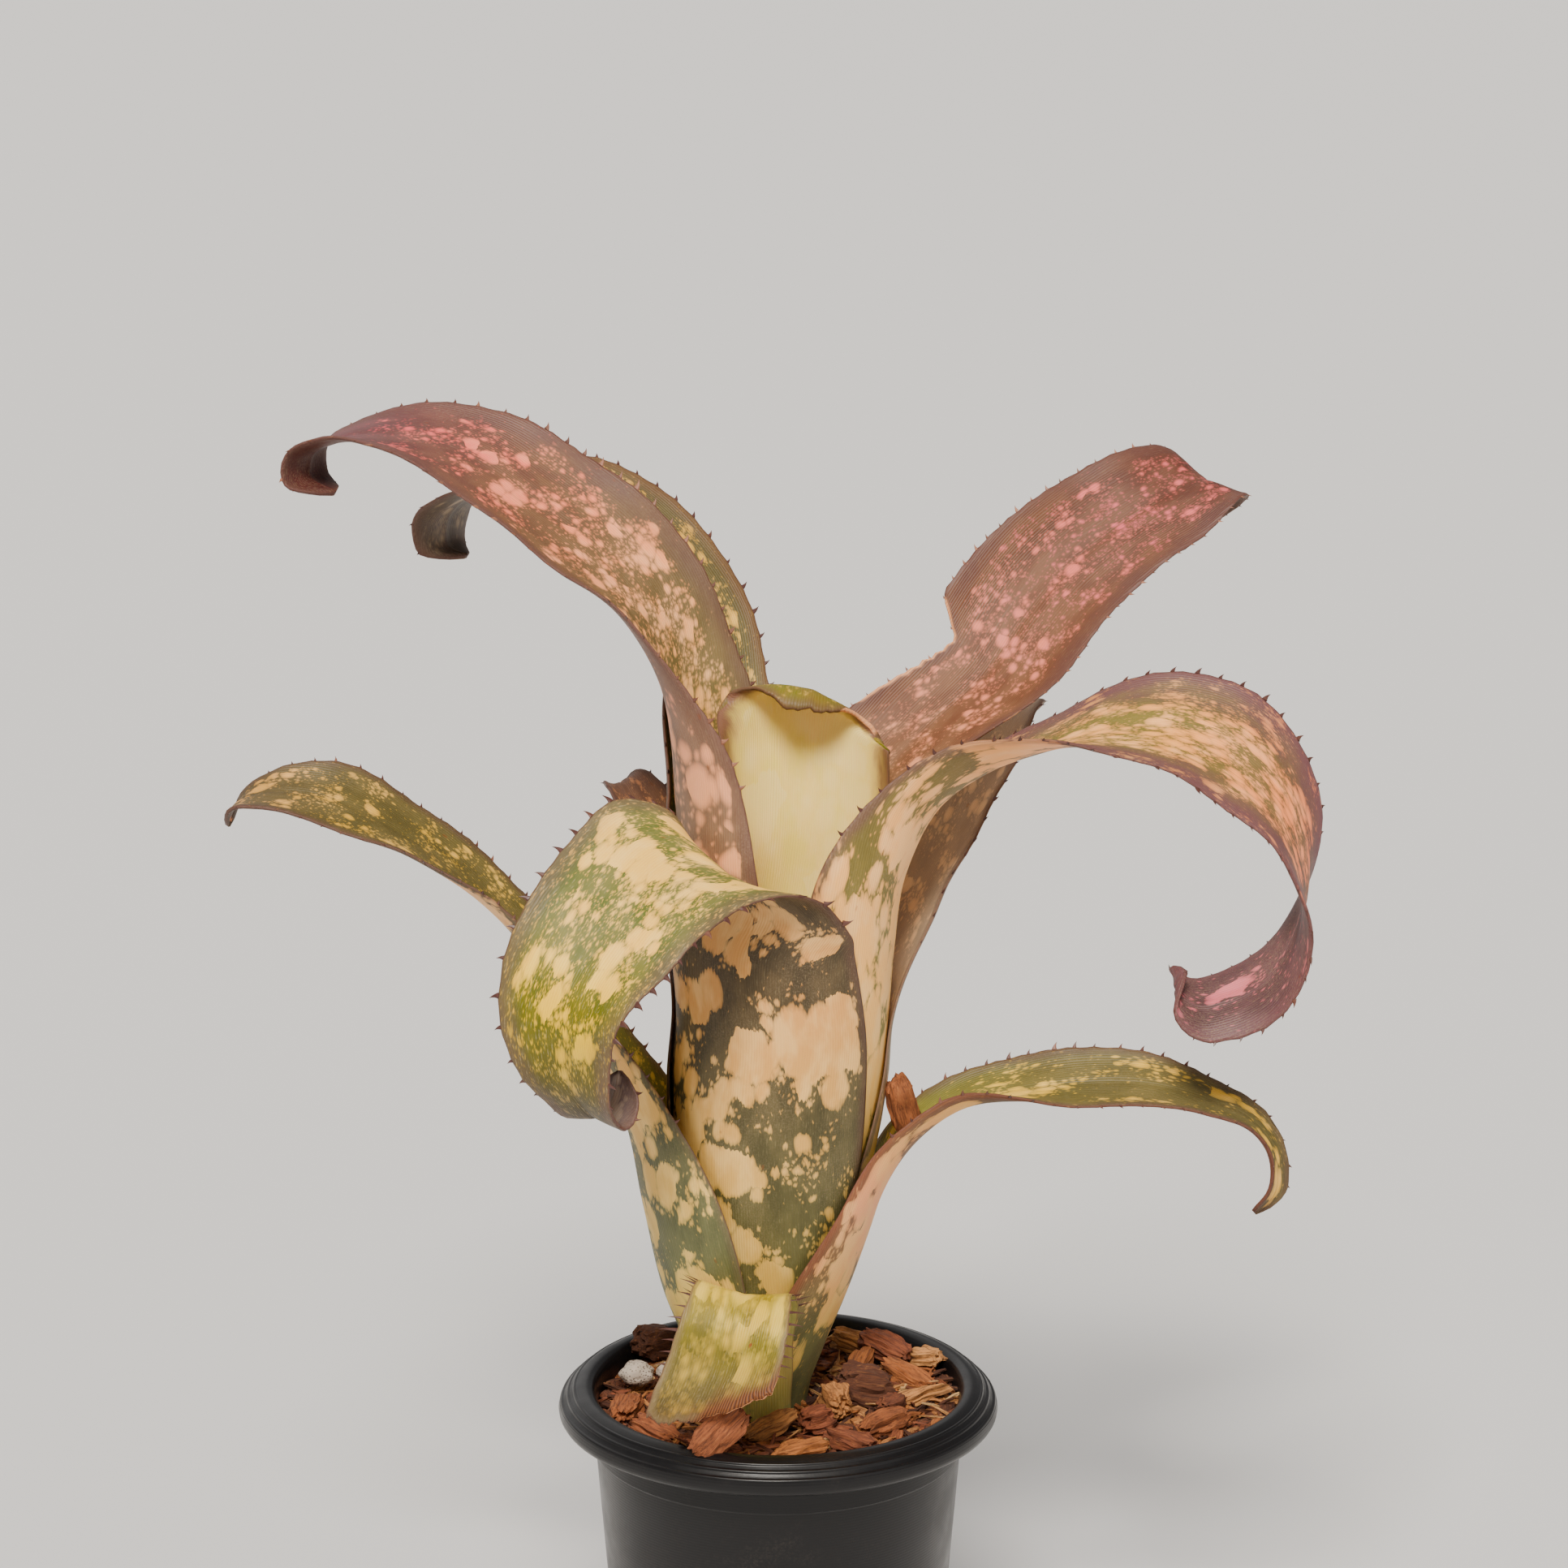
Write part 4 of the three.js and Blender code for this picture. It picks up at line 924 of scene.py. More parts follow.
# Both sides of every leaf, upper side first
LOOKS = {
    "leaf_front": (
        dict(
            OLIVE,
            ground=(
                (0, 120, 180, 205, 222, 234, 248),
                "b9b878 666a42 566034 5c5c24 544e26 463e32 3e3836",
                "c2c084 7e7a56 76744e 726c30 605830 4e463a 46403c",
            ),
            patch=(
                (0, 120, 185, 210, 234, 248),
                "e8d6a4 f4d4a2 f6d09e e4c470 8c7a64 6e6258",
                "e8d6a4 fadab0 fadaaa eed082 9c8a74 7c7066",
            ),
            cover=[
                (0, 0.5), (130, 0.52), (160, 0.55), (182, 0.46), (200, 0.5), (216, 0.47), (226, 0.36),
                (234, 0.25), (248, 0.2),
            ],
            size=7.0, stretch=1.6, fine=1.3, merge=0.7, clump=1.0, margin="68544e", margin_width=6.5,
            frost=0.15, silver=0.5, fray=4.0,
        ),
        dict(
            UNDER, size=13.0,
            ground=(
                (0, 50, 110, 205, 228, 248),
                "6a6a46 504e34 42392a 4c4036 685a58 685a58",
                "7c7a52 646044 584c3a 5e5044 7c6e6a 7c6e6a",
            ),
            patch=(
                (0, 50, 110, 205, 228, 248),
                "d2be88 d2b688 d0a682 b0947a 94867c 94867c",
                "cdbd7e e0c69a e2c09c bca288 a09288 a09288",
            ),
            cover=[(0, 0.44), (25, 0.46), (45, 0.5), (70, 0.51), (90, 0.5), (130, 0.5), (248, 0.42)],
            frost=0.3,
        ),
    ),
    "leaf_left_low": (
        OLIVE,
        dict(
            UNDER, size=11.0, margin="6a5a4c", margin_width=2.5, margin_tint=0.35, margin_bare=0.1,
            cover=[(0, 0.44), (30, 0.48), (50, 0.48), (90, 0.54), (320, 0.42)],
        ),
    ),
    "leaf_right_low": (
        dict(OLIVE, size=7.0, stretch=2.2, merge=0.6, clump=0.8),
        dict(
            UNDER,
            ground=(
                (0, 30, 58, 100, 320),
                "5a5e46 5c5a42 7a5a48 564632 4c3c2c",
                "6a6e52 6c6a4e 8a6650 66543e 58442f",
            ),
            patch=(
                (0, 35, 60, 100, 320),
                "c8ba88 dcb890 ebb69c d8b084 c89c7a",
                "c0b27c e2c49a edc4a4 deba8e d0a47e",
            ),
            cover=[(0, 0.3), (20, 0.42), (36, 0.56), (62, 0.58), (90, 0.5), (320, 0.42)], size=9.0,
            stretch=1.8, margin="7a4e40",
        ),
    ),
    "leaf_front_low": (
        dict(
            OLIVE,
            ground=(
                (0, 38, 50, 60, 72, 81),
                "a59a50 b09a66 82723a 625a2a 564c2a 4a3a22",
                "a8a058 bea870 948446 766c36 665a34 564428",
            ),
            patch=(
                (0, 38, 52, 62, 72, 81),
                "dccb84 ead4a0 e0c688 ccb47c b8a06c 94744c",
                "dccb84 eed8aa e4ce94 d2be84 c0a874 a08056",
            ),
            cover=[(0, 0.5), (38, 0.62), (52, 0.56), (62, 0.5), (81, 0.46)], size=7.0, stretch=1.7,
            fine=0.1, feather=0.9, soft=1.8, strength=0.75, merge=0.8, clump=1.0, margin="80705a",
            margin_width=2.4, blemish=0.9, silver=0.3, scar=("46281a", "76503a"),
        ),
        dict(
            UNDER,
            ground=((0, 90), "98996c 98996c", "a8a67c a8a67c"),
            patch=((0, 90), "cfc89c d0b478", "c9c294 ccb074"),
            cover=[(0, 0.66), (90, 0.6)], feather=1.0, margin_tint=0.2,
        ),
    ),
    "leaf_back_low": (
        dict(
            OLIVE,
            ground=((0, 100, 180), "8d9050 6e5644 6a4e42", "9aa05c 7c6450 785a4c"),
            patch=((0, 100, 180), "dccf90 c49a7c c09078", "e0d59c d0a888 cc9e84"),
        ),
        dict(UNDER, size=9.0),
    ),
    # leaf_back_right lies in the arch leaf's shade, so both sides' tones from about 60 mm up are lightened
    # past the leaf's own colour: painted light
    "leaf_back_right": (
        dict(
            OLIVE,
            ground=((0, 100, 210), "8d9050 a89c8c a6988a", "9aa05c b8aa98 b4a696"),
            patch=((0, 100, 210), "dccf90 e6d2b8 e2ceb6", "e0d59c eedcc2 ead8c0"),
        ),
        dict(
            UNDER,
            ground=((0, 60, 320), "6f7250 a2947e 988c7a", "858560 b0a28c a89a86"),
            patch=((0, 60, 320), "d6c488 e0c6a4 d6bc9c", "cdbf7e e8d0ae dec4a6"),
            size=9.0,
        ),
    ),
    "leaf_right_arch": (
        dict(
            PINK,
            ground=(
                (0, 130, 200, 250, 290, 320),
                "b9ac78 726a40 6c623c 664e40 543e42 463036",
                "c2b482 80784c 7c7048 765c4c 644a4e 54403e",
            ),
            patch=(
                (0, 130, 200, 250, 290, 320),
                "e8d6a4 ecb894 f4be98 f2a892 de908c c87c80",
                "e8d6a4 f0c4a2 f8caa8 f6b6a0 e29a94 cc8486",
            ),
            cover=[(0, 0.5), (130, 0.52), (200, 0.54), (250, 0.53), (290, 0.5), (320, 0.4)], size=4.0,
            stretch=2.4, fine=0.3, merge=0.2, clump=0.75, margin="684a4e", margin_width=13.0,
            margin_bare=0.16, margin_tint=0.9, fray=2.0,
        ),
        dict(
            UNDER,
            ground=(
                (0, 90, 150, 190, 230, 320),
                "5c6048 6e683e 6e6242 6c564a 5e4648 4c3839",
                "6c7050 7c744a 7c6e4c 7c6254 705456 604849",
            ),
            patch=(
                (0, 90, 170, 230, 320),
                "d6c488 f2cca2 f4c2a0 d4908e c08088",
                "cdbf7e f6d6b0 f8ccae da9a96 c88c94",
            ),
            cover=[(0, 0.46), (60, 0.62), (110, 0.62), (160, 0.56), (200, 0.47), (230, 0.36), (320, 0.34)],
            size=10.0, stretch=1.8, fine=0.6, merge=0.7, margin="66484a", margin_bare=0.1, frost=0.5,
        ),
    ),
    "leaf_back_left": (
        dict(OLIVE, margin="6c5040", margin_width=4.5, size=6.0),
        dict(
            UNDER,
            ground=((0, 110, 320), "6f7250 544a3e 50463e", "858560 62564a 5e524a"),
            patch=((0, 110, 320), "d6c488 9c8a70 8a7c6e", "cdbf7e a8967c 988a7a"),
            cover=[(0, 0.42), (110, 0.42), (320, 0.36)], size=7.0, feather=0.6,
        ),
    ),
    "leaf_left_high": (
        dict(
            PINK, margin_width=7.0, size=7.0, stretch=1.3, merge=0.0, clump=0.5, fine=0.15, feather=0.3,
            fray=0.5,
        ),
        dict(
            UNDER,
            ground=(
                (0, 100, 170, 250, 320),
                "6f7250 7a6654 745a50 4e302e 3c1c1c",
                "858560 8a7662 82685e 5a3836 44211f",
            ),
            patch=(
                (0, 100, 170, 250, 320),
                "d6c488 eec2a4 e4b09e b0646a 6c2e34",
                "cdbf7e f0cbae e2aa9c a85c64 642a30",
            ),
            cover=[(0, 0.42), (100, 0.5), (170, 0.5), (250, 0.4), (320, 0.3)], size=20.0, merge=0.0,
            clump=0.3, stretch=1.15, fine=0.0, feather=0.6, soft=1.8, margin="604842", frost=0.4,
            fray=0.4,
        ),
    ),
    "leaf_right_high": (
        dict(
            PINK,
            ground=(
                (0, 100, 150, 210, 272),
                "b9ac78 7a5e48 6a4838 5c3c30 4e302e",
                "c2b482 8a7058 7a5a48 6e4e3e 5e403c",
            ),
            patch=(
                (0, 100, 150, 210, 272),
                "e8d6a4 e6be9c e6a896 e2948e d88488",
                "e8d6a4 ecc6a6 e8b29e e28a94 de9292",
            ),
            cover=[(0, 0.5), (100, 0.46), (150, 0.45), (210, 0.46), (272, 0.44)], size=5.6, stretch=1.25,
            fine=0.05, feather=0.35, strength=0.8, merge=0.0, clump=0.35, frost=0.05, margin="5c4440",
            fray=0.5,
        ),
        dict(UNDER, size=9.0),
    ),
    "leaf_centre": (
        dict(
            PINK,
            ground=((0, 166), "eed8a6 f2deb0", "e6d49c eadaa4"),
            patch=((0, 166), "f8e2b8 fae8c0", "f4e0b4 f6e6bc"),
            cover=[(0, 0.5), (166, 0.56)], size=14.0, feather=1.2, soft=2.0, strength=0.8,
            margin="6a4a44", margin_width=11.0, margin_tint=0.95, margin_bare=1.2, fine=0.0, frost=0.0,
            silver=0.0, blemish=0.1,
        ),
        dict(
            OLIVE,
            ground=((0, 166), "8a8a5a 6e6a34", "8a8a5a 7c683e"),
            patch=((0, 166), "d6c488 e0c08c", "d6c488 e6c898"),
            cover=[(0, 0.5), (166, 0.42)], size=9.0, stretch=1.2, merge=0.0, feather=0.5, margin="604440",
            margin_width=4.5,
        ),
    ),
}


# Spines along both margins of every leaf: point, out, forward, size and paleness of each
def spine_places():
    places = []
    for seed, (name, leaf) in enumerate(LEAVES.items()):
        _, knots, sheath_end = leaf_stations(leaf)
        length = knots[-1]
        thick, tall, apart, pale = SPINE_SHAPES.get(name, USUAL_SPINES)
        bare = SPINE_FREE_TIP + max(torn_end(name, np.array([-1.0, 1.0])))
        s = np.arange(sheath_end + leaf["spines"], length - bare, SPINE_PITCH * apart)
        for side in (-1, 1):
            spots = [Vector((k * 3.1, seed * 7.7, side * 2.3)) for k in range(len(s))]
            jitter = np.array([noise.noise(spot) for spot in spots])
            at = s + jitter * 1.2 * apart
            rows = leaf_rows(name, at)
            tip = np.clip((at - (length - TIP_LENGTH)) / TIP_LENGTH, 0, 1)
            rows["half"] = rows["half"] * np.sqrt(1 - tip**2)
            share = margin_share(name, at, side)
            u = (side * share)[:, None]
            edge = section_points(rows, u, leaf_relief(u, at, seed, sheath_end))[:, 0]
            angle = side * rows["cup"] * DEG / 2
            sideways = rows["across"] * (side * np.cos(angle))[:, None]
            out = sideways + rows["inward"] * (side * np.sin(angle))[:, None]
            ahead = leaf_rows(name, at + 0.5)["centre"] - rows["centre"]
            for k in range(len(s)):
                fade = (0.55 + 0.45 * min(1, (length - at[k]) / 40)) * (1 + 0.4 * jitter[k])
                size = np.array([thick, thick, tall]) * fade
                foot = edge[k] - out[k] * SPINE_SUNK
                places.append((foot, out[k], ahead[k], size, pale + 0.3 * jitter[k]))
    return places


# Tree of Geometry Nodes with named inputs, and a material and a seed for what it grows
def new_tree(name, sizes):
    inputs = [("Geometry", "NodeSocketGeometry"), *((label, "NodeSocketFloat") for label in sizes)]
    inputs += [("Seed", "NodeSocketInt"), ("Material", "NodeSocketMaterial")]
    return new_group(name, inputs, [("Geometry", "NodeSocketGeometry")], "GeometryNodeTree")


# Value that a mesh keeps, in Geometry Nodes
def named(tree, kind, attribute):
    node = put(tree, "GeometryNodeInputNamedAttribute", {"Name": attribute}, data_type=kind)
    return node.outputs["Attribute"]


# Runs a tree on a mesh and returns the finished plain mesh
def grown(tree, mesh, values):
    holder = in_scene("holder", mesh)
    modifier = holder.modifiers.new("grow", "NODES")
    modifier.node_group = tree
    for item in tree.interface.items_tree:
        if item.in_out == "INPUT" and item.name in values:
            modifier[item.identifier] = values[item.name]
    ready = holder.evaluated_get(bpy.context.evaluated_depsgraph_get())
    made = bpy.data.meshes.new_from_object(ready)
    bpy.data.objects.remove(holder)
    return made


# Joins what a tree has grown, with its material, to the tree's output
def finish_tree(tree, geometry, material, out):
    real = put(tree, "GeometryNodeRealizeInstances", {"Geometry": geometry})
    done = put(tree, "GeometryNodeSetMaterial", {"Geometry": real.outputs[0], "Material": material})
    tree.links.new(done.outputs[0], out[0])


# Keeps a value on the points or instances of what a tree grows
def marked(tree, geometry, name, value, kind, domain):
    inputs = {"Geometry": geometry, "Name": name, "Value": value}
    node = put(tree, "GeometryNodeStoreNamedAttribute", inputs, data_type=kind, domain=domain)
    return node.outputs[0]


# Random values, one for each point or instance
def drawn(tree, kind, inputs):
    node = put(tree, "FunctionNodeRandomValue", inputs, data_type=kind)
    return next(socket for socket in node.outputs if socket.enabled)


# A flattened, forward-bent thorn on each point
def spine_tree():
    tree, given, out = new_tree("spine_rows", ["Length", "Base", "Flatness", "Bend"])
    cone = put(tree, "GeometryNodeMeshCone", {
        "Vertices": 6, "Side Segments": 4, "Radius Top": 0.00004,
        "Radius Bottom": times(tree, given["Base"], 0.5), "Depth": given["Length"],
    }, fill_type="NGON")
    flat = vector(tree, 1.0, given["Flatness"], 1.0)
    thorn = put(tree, "GeometryNodeTransform", {"Geometry": cone.outputs["Mesh"], "Scale": flat})
    height = part_of(tree, put(tree, "GeometryNodeInputPosition").outputs[0], 2)
    share = maths(tree, "DIVIDE", height, given["Length"])
    lean = vector(tree, times(tree, times(tree, share, share), given["Bend"]))
    bent = put(tree, "GeometryNodeSetPosition", {"Geometry": thorn.outputs[0], "Offset": lean})
    out_of_leaf = named(tree, "FLOAT_VECTOR", "out")
    up = put(tree, "FunctionNodeAlignRotationToVector", {"Vector": out_of_leaf}, axis="Z")
    forward = {"Rotation": up.outputs[0], "Vector": named(tree, "FLOAT_VECTOR", "forward")}
    turn = put(tree, "FunctionNodeAlignRotationToVector", forward, axis="X", pivot_axis="Z")
    vary = drawn(tree, "FLOAT", {"Min": 0.75, "Max": 1.2, "Seed": given["Seed"]})
    size = scaled(tree, named(tree, "FLOAT_VECTOR", "grow"), vary)
    placed = put(tree, "GeometryNodeInstanceOnPoints", {
        "Points": given["Geometry"], "Instance": bent.outputs[0],
        "Rotation": turn.outputs[0], "Scale": size,
    })
    toned = marked(tree, placed.outputs[0], "tone", named(tree, "FLOAT", "pale"), "FLOAT", "INSTANCE")
    finish_tree(tree, toned, given["Material"], out)
    return tree


# All spines as one piece
def spine_piece():
    points, *values = zip(*spine_places())
    mesh = bpy.data.meshes.new("spine_points")
    mesh.from_pydata([tuple(p * MM) for p in points], [], [])
    for key, rows in zip(("out", "forward", "grow", "pale"), values):
        store(mesh, key, rows)
    made = grown(spine_tree(), mesh, {
        "Length": SPINE_LENGTH * MM, "Base": SPINE_BASE * MM, "Flatness": SPINE_FLATNESS,
        "Bend": SPINE_BEND * MM, "Seed": SPINE_SEED, "Material": spine_material(),
    })
    made.name = "margin_spines"
    new_piece("margin_spines", made, [])


# Spines, from dark to straw by their tone
def spine_material():
    material, tree, shader = plain_material("spine")
    grain = noise_value(tree, own_place(tree), 900.0, 2.0)
    dark = mixed(tree, grain, seen("36221f"), seen("5a3a34"))
    pale = mixed(tree, grain, seen("9a6a5c"), seen("d8b09c"))
    colour = mixed(tree, steps(tree, read(tree, "tone", "Fac"), 0.2, 1.0), dark, pale)
    surface(tree, shader, colour, steps(tree, grain, 0.2, 0.8, 0.35, 0.55))
    return material


# Points of a level ring, in millimetres
def ring(r, z, count):
    turns = [2 * math.pi * k / count for k in range(count)]
    return [(r * MM * math.cos(turn), r * MM * math.sin(turn), z * MM) for turn in turns]


# Faces between two rings of points, given the first point of each
def band(a, b, count):
    return [(a + k, b + k, b + (k + 1) % count, a + (k + 1) % count) for k in range(count)]


# Closed mesh of revolution from [radius, height] points in millimetres, anticlockwise in section
def revolved(name, profile, segments):
    points = []
    rings = []
    for r, z in profile:
        rings.append((len(points), r == 0))
        points += [(0, 0, z * MM)] if r == 0 else ring(r, z, segments)
    faces = []
    for (a, a_pole), (b, b_pole) in zip(rings, rings[1:] + rings[:1]):
        if a_pole and b_pole:
            continue
        for k in range(segments):
            following = (k + 1) % segments
            if a_pole:
                faces.append((a, b + following, b + k))
            elif b_pole:
                faces.append((a + k, a + following, b))
            else:
                faces.append((a + k, a + following, b + following, b + k))
    return new_mesh(name, points, faces)


# Rim slope with fine raised rings, from its outer edge up to the lip
def rim_rings():
    profile = []
    for k in range(RIM_CUTS + 1):
        t = k / RIM_CUTS
        r = RIM_RADIUS - RIM_FOOT[0] - (RIM_LIP[0] - RIM_FOOT[0]) * t
        z = RIM_FOOT[1] + (RIM_LIP[1] - RIM_FOOT[1]) * math.sin(t * math.pi / 2) ** 1.1
        wave = max(0.0, math.sin(t * math.pi * 2 * RIM_RINGS / 1.25 - 0.4))
        bump = RING_HEIGHT * wave * float(smooth((0.8 - t) / 0.1))
        profile.append((r + bump * 0.5, z + bump * 0.7))
    return profile


# Upright rods where the drain holes are cut
def drain_rods():
    points = []
    faces = []
    for k in range(DRAIN_HOLES):
        angle = (k + 0.5) * 2 * math.pi / DRAIN_HOLES
        base = len(points)
        for z in (-2, POT_FLOOR + 2):
            for j in range(DRAIN_SIDES):
                turn = 2 * math.pi * j / DRAIN_SIDES
                points.append((
                    (DRAIN_RING * math.cos(angle) + DRAIN_RADIUS * math.cos(turn)) * MM,
                    (DRAIN_RING * math.sin(angle) + DRAIN_RADIUS * math.sin(turn)) * MM, z * MM,
                ))
        for j in range(DRAIN_SIDES):
            following = (j + 1) % DRAIN_SIDES
            top = base + DRAIN_SIDES
            faces.append((base + j, base + following, top + following, top + j))
        faces.append(tuple(base + j for j in reversed(range(DRAIN_SIDES))))
        faces.append(tuple(base + DRAIN_SIDES + j for j in range(DRAIN_SIDES)))
    return new_mesh("drills", points, faces)


# Pot with its rolled rim, foot and drain holes
def pot_piece():
    inner = [
        (RIM_RADIUS - 7.2, 95.0), (RIM_RADIUS - 8.0, 94.6), (RIM_RADIUS - 8.6, 93.8),
        (POT_NECK_RADIUS - POT_WALL + 0.2, 92.5), (POT_NECK_RADIUS - POT_WALL, POT_NECK_Z - 1),
        (POT_BASE_RADIUS - POT_WALL, POT_FLOOR + 1), (POT_BASE_RADIUS - POT_WALL - 1.2, POT_FLOOR),
        (0, POT_FLOOR),
    ]
    profile = [
        (0, 0.8), (POT_BASE_RADIUS - 4.5, 0.8), (POT_BASE_RADIUS - 3.7, 0.0), (POT_BASE_RADIUS - 1.5, 0),
        (POT_BASE_RADIUS - 0.4, 0.4), (POT_BASE_RADIUS, 1.5), (POT_NECK_RADIUS - 0.6, POT_NECK_Z - 7.2),
        (POT_NECK_RADIUS - 0.55, POT_NECK_Z - 6.9), (POT_NECK_RADIUS - 0.1, POT_NECK_Z - 6.5),
        (POT_NECK_RADIUS, POT_NECK_Z - 0.4), (POT_NECK_RADIUS + 0.4, POT_NECK_Z + 0.05),
        (RIM_RADIUS - 1.6, 87.2), (RIM_RADIUS - 0.7, 87.7), (RIM_RADIUS - 0.15, 88.6), (RIM_RADIUS, 89.6),
        *rim_rings(), *inner,
    ]
    pot = in_scene("pot_blank", revolved("pot_body", profile, POT_SEGMENTS))
    drills = in_scene("drills", drain_rods())
    cut = pot.modifiers.new("drain", "BOOLEAN")
    cut.operation = "DIFFERENCE"
    cut.solver = "EXACT"
    cut.object = drills
    made = bpy.data.meshes.new_from_object(pot.evaluated_get(bpy.context.evaluated_depsgraph_get()))
    bpy.data.objects.remove(pot)
    bpy.data.objects.remove(drills)
    made.name = "pot_shell"
    made.materials.clear()
    made.set_sharp_from_angle(angle=40 * DEG)
    new_piece("pot_shell", made, [pot_material()], ["pot"])


# Black plastic with fine turning lines and a little dust
def pot_material():
    material, tree, shader = plain_material("black_plastic")
    where = own_place(tree)
    haze = noise_value(tree, where, 60.0, 4.0, 0.6)
    grain = noise_value(tree, where, 1400.0, 2.0, 0.6)
    dust = times(tree, steps(tree, haze, 0.5, 0.8), steps(tree, grain, 0.4, 0.7))
    colour = mixed(tree, times(tree, dust, 0.3), seen("0e0d0e"), seen("3e3833"))
    lines = maths(tree, "SINE", times(tree, part_of(tree, where, 2), 9000.0))
    height = plus(tree, times(tree, grain, 0.6), times(tree, lines, 0.25))
    surface(tree, shader, colour, steps(tree, haze, 0.3, 0.7, 0.28, 0.42), (height, 0.25, 0.0001))
    shader.inputs["Specular IOR Level"].default_value = 0.35
    return material


# Bark: its top in rings of points, and (height, radius) down its side inside the pot
BED_TOP = 88.4
BED_SLOPE = 1.6
BED_MOUND = 1.5
BED_LUMPS = 1.5
BED_RADIUS = 42.3
BED_RINGS = 26
BED_AROUND = 96
BED_SIDE = [(60, 41.4), (4, 35.6), (1.9, 34.6)]


# Height of the bed: it rises to the back right and round the plant's foot
def bed_height(x, y):
    heap = BED_SLOPE * smooth((x + y + 20) / 60)
    heap += BED_MOUND * smooth((24 - math.hypot(x - AXIS_FOOT_X, y)) / 20)
    return BED_TOP + float(heap) + BED_LUMPS * noise.noise(Vector((x / 7, y / 7, 3.0)))


# Bed of bark as a closed body, or its top alone
def bed_mesh(closed=True):
    points = [(0, 0, bed_height(0, 0) * MM)]
    for i in range(1, BED_RINGS + 1):
        r = BED_RADIUS * i / BED_RINGS
        for k in range(BED_AROUND):
            angle = 2 * math.pi * k / BED_AROUND
            x = r * math.cos(angle)
            y = r * math.sin(angle)
            points.append((x * MM, y * MM, bed_height(x, y) * MM))
    faces = [(0, 1 + k, 1 + (k + 1) % BED_AROUND) for k in range(BED_AROUND)]
    starts = list(range(1, len(points), BED_AROUND))
    if closed:
        for z, r in BED_SIDE:
            starts.append(len(points))
            points += ring(r, z, BED_AROUND)
        points.append((0, 0, BED_SIDE[-1][0] * MM))
    for a, b in zip(starts, starts[1:]):
        faces += band(a, b, BED_AROUND)
    if not closed:
        return new_mesh("bark_top", points, faces)
    last = starts[-1]
    centre = len(points) - 1
    faces += [(last + k, centre, last + (k + 1) % BED_AROUND) for k in range(BED_AROUND)]
    return new_mesh("bark_bed", points, faces)


# Chips laid over the bed: rough blocks turned and sized at random
def chip_tree():
    tree, given, out = new_tree("bark_chips", ["Spacing", "Length", "Width", "Height", "Roughness"])
    facing = part_of(tree, put(tree, "GeometryNodeInputNormal").outputs[0], 2)
    upward = put(
        tree, "FunctionNodeCompare", {0: facing, 1: 0.5}, data_type="FLOAT", operation="GREATER_THAN",
    )
    spots = put(tree, "GeometryNodeDistributePointsOnFaces", {
        "Mesh": given["Geometry"], "Selection": upward.outputs[0], "Distance Min": given["Spacing"],
        "Density Max": 400000.0, "Seed": given["Seed"],
    }, distribute_method="POISSON")
    block = put(tree, "GeometryNodeMeshCube", {
        "Size": vector(tree, given["Length"], given["Width"], given["Height"]),
        "Vertices X": 7, "Vertices Y": 4, "Vertices Z": 3,
    })
    own = put(tree, "GeometryNodeInputPosition").outputs[0]
    plain = marked(tree, block.outputs["Mesh"], "grain", own, "FLOAT_VECTOR", "POINT")
    # Ends taper
    reach = maths(tree, "DIVIDE", part_of(tree, own, 0), given["Length"])
    square = times(tree, reach, reach)
    slim = vector(
        tree, 1.0, minus(tree, 1.0, times(tree, square, 1.9)), minus(tree, 1.0, times(tree, square, 2.4)),
    )
    narrow = stretched(tree, own, slim)
    tapered = put(tree, "GeometryNodeSetPosition", {"Geometry": plain, "Position": narrow})
    turn = drawn(tree, "FLOAT_VECTOR", {0: (-0.5, -0.45, 0.0), 1: (0.5, 0.45, 6.28), "Seed": given["Seed"]})
    seed = plus(tree, given["Seed"], 7.0)
    big = drawn(tree, "FLOAT_VECTOR", {0: (0.45, 0.5, 0.5), 1: (1.25, 1.2, 1.3), "Seed": seed})
    placed = put(tree, "GeometryNodeInstanceOnPoints", {
        "Points": spots.outputs["Points"], "Instance": tapered.outputs[0], "Rotation": turn, "Scale": big,
    })
    tint = drawn(tree, "FLOAT", {"Seed": plus(tree, given["Seed"], 11.0)})
    toned = marked(tree, placed.outputs[0], "tint", tint, "FLOAT", "INSTANCE")
    real = put(tree, "GeometryNodeRealizeInstances", {"Geometry": toned})
    # Splintered along the grain, each chip in its own way
    apart = vector(tree, y=times(tree, named(tree, "FLOAT", "tint"), 97.0))
    fibre = shifted(tree, stretched(tree, named(tree, "FLOAT_VECTOR", "grain"), (180, 900, 900)), apart)
    shake = put(tree, "ShaderNodeTexNoise", {"Vector": fibre, "Scale": 1.0, "Detail": 1.0})
    push = scaled(tree, centred(tree, shake.outputs["Color"]), given["Roughness"])
    moved = put(tree, "GeometryNodeSetPosition", {"Geometry": real.outputs[0], "Offset": push})
    finish_tree(tree, moved.outputs[0], given["Material"], out)
    return tree


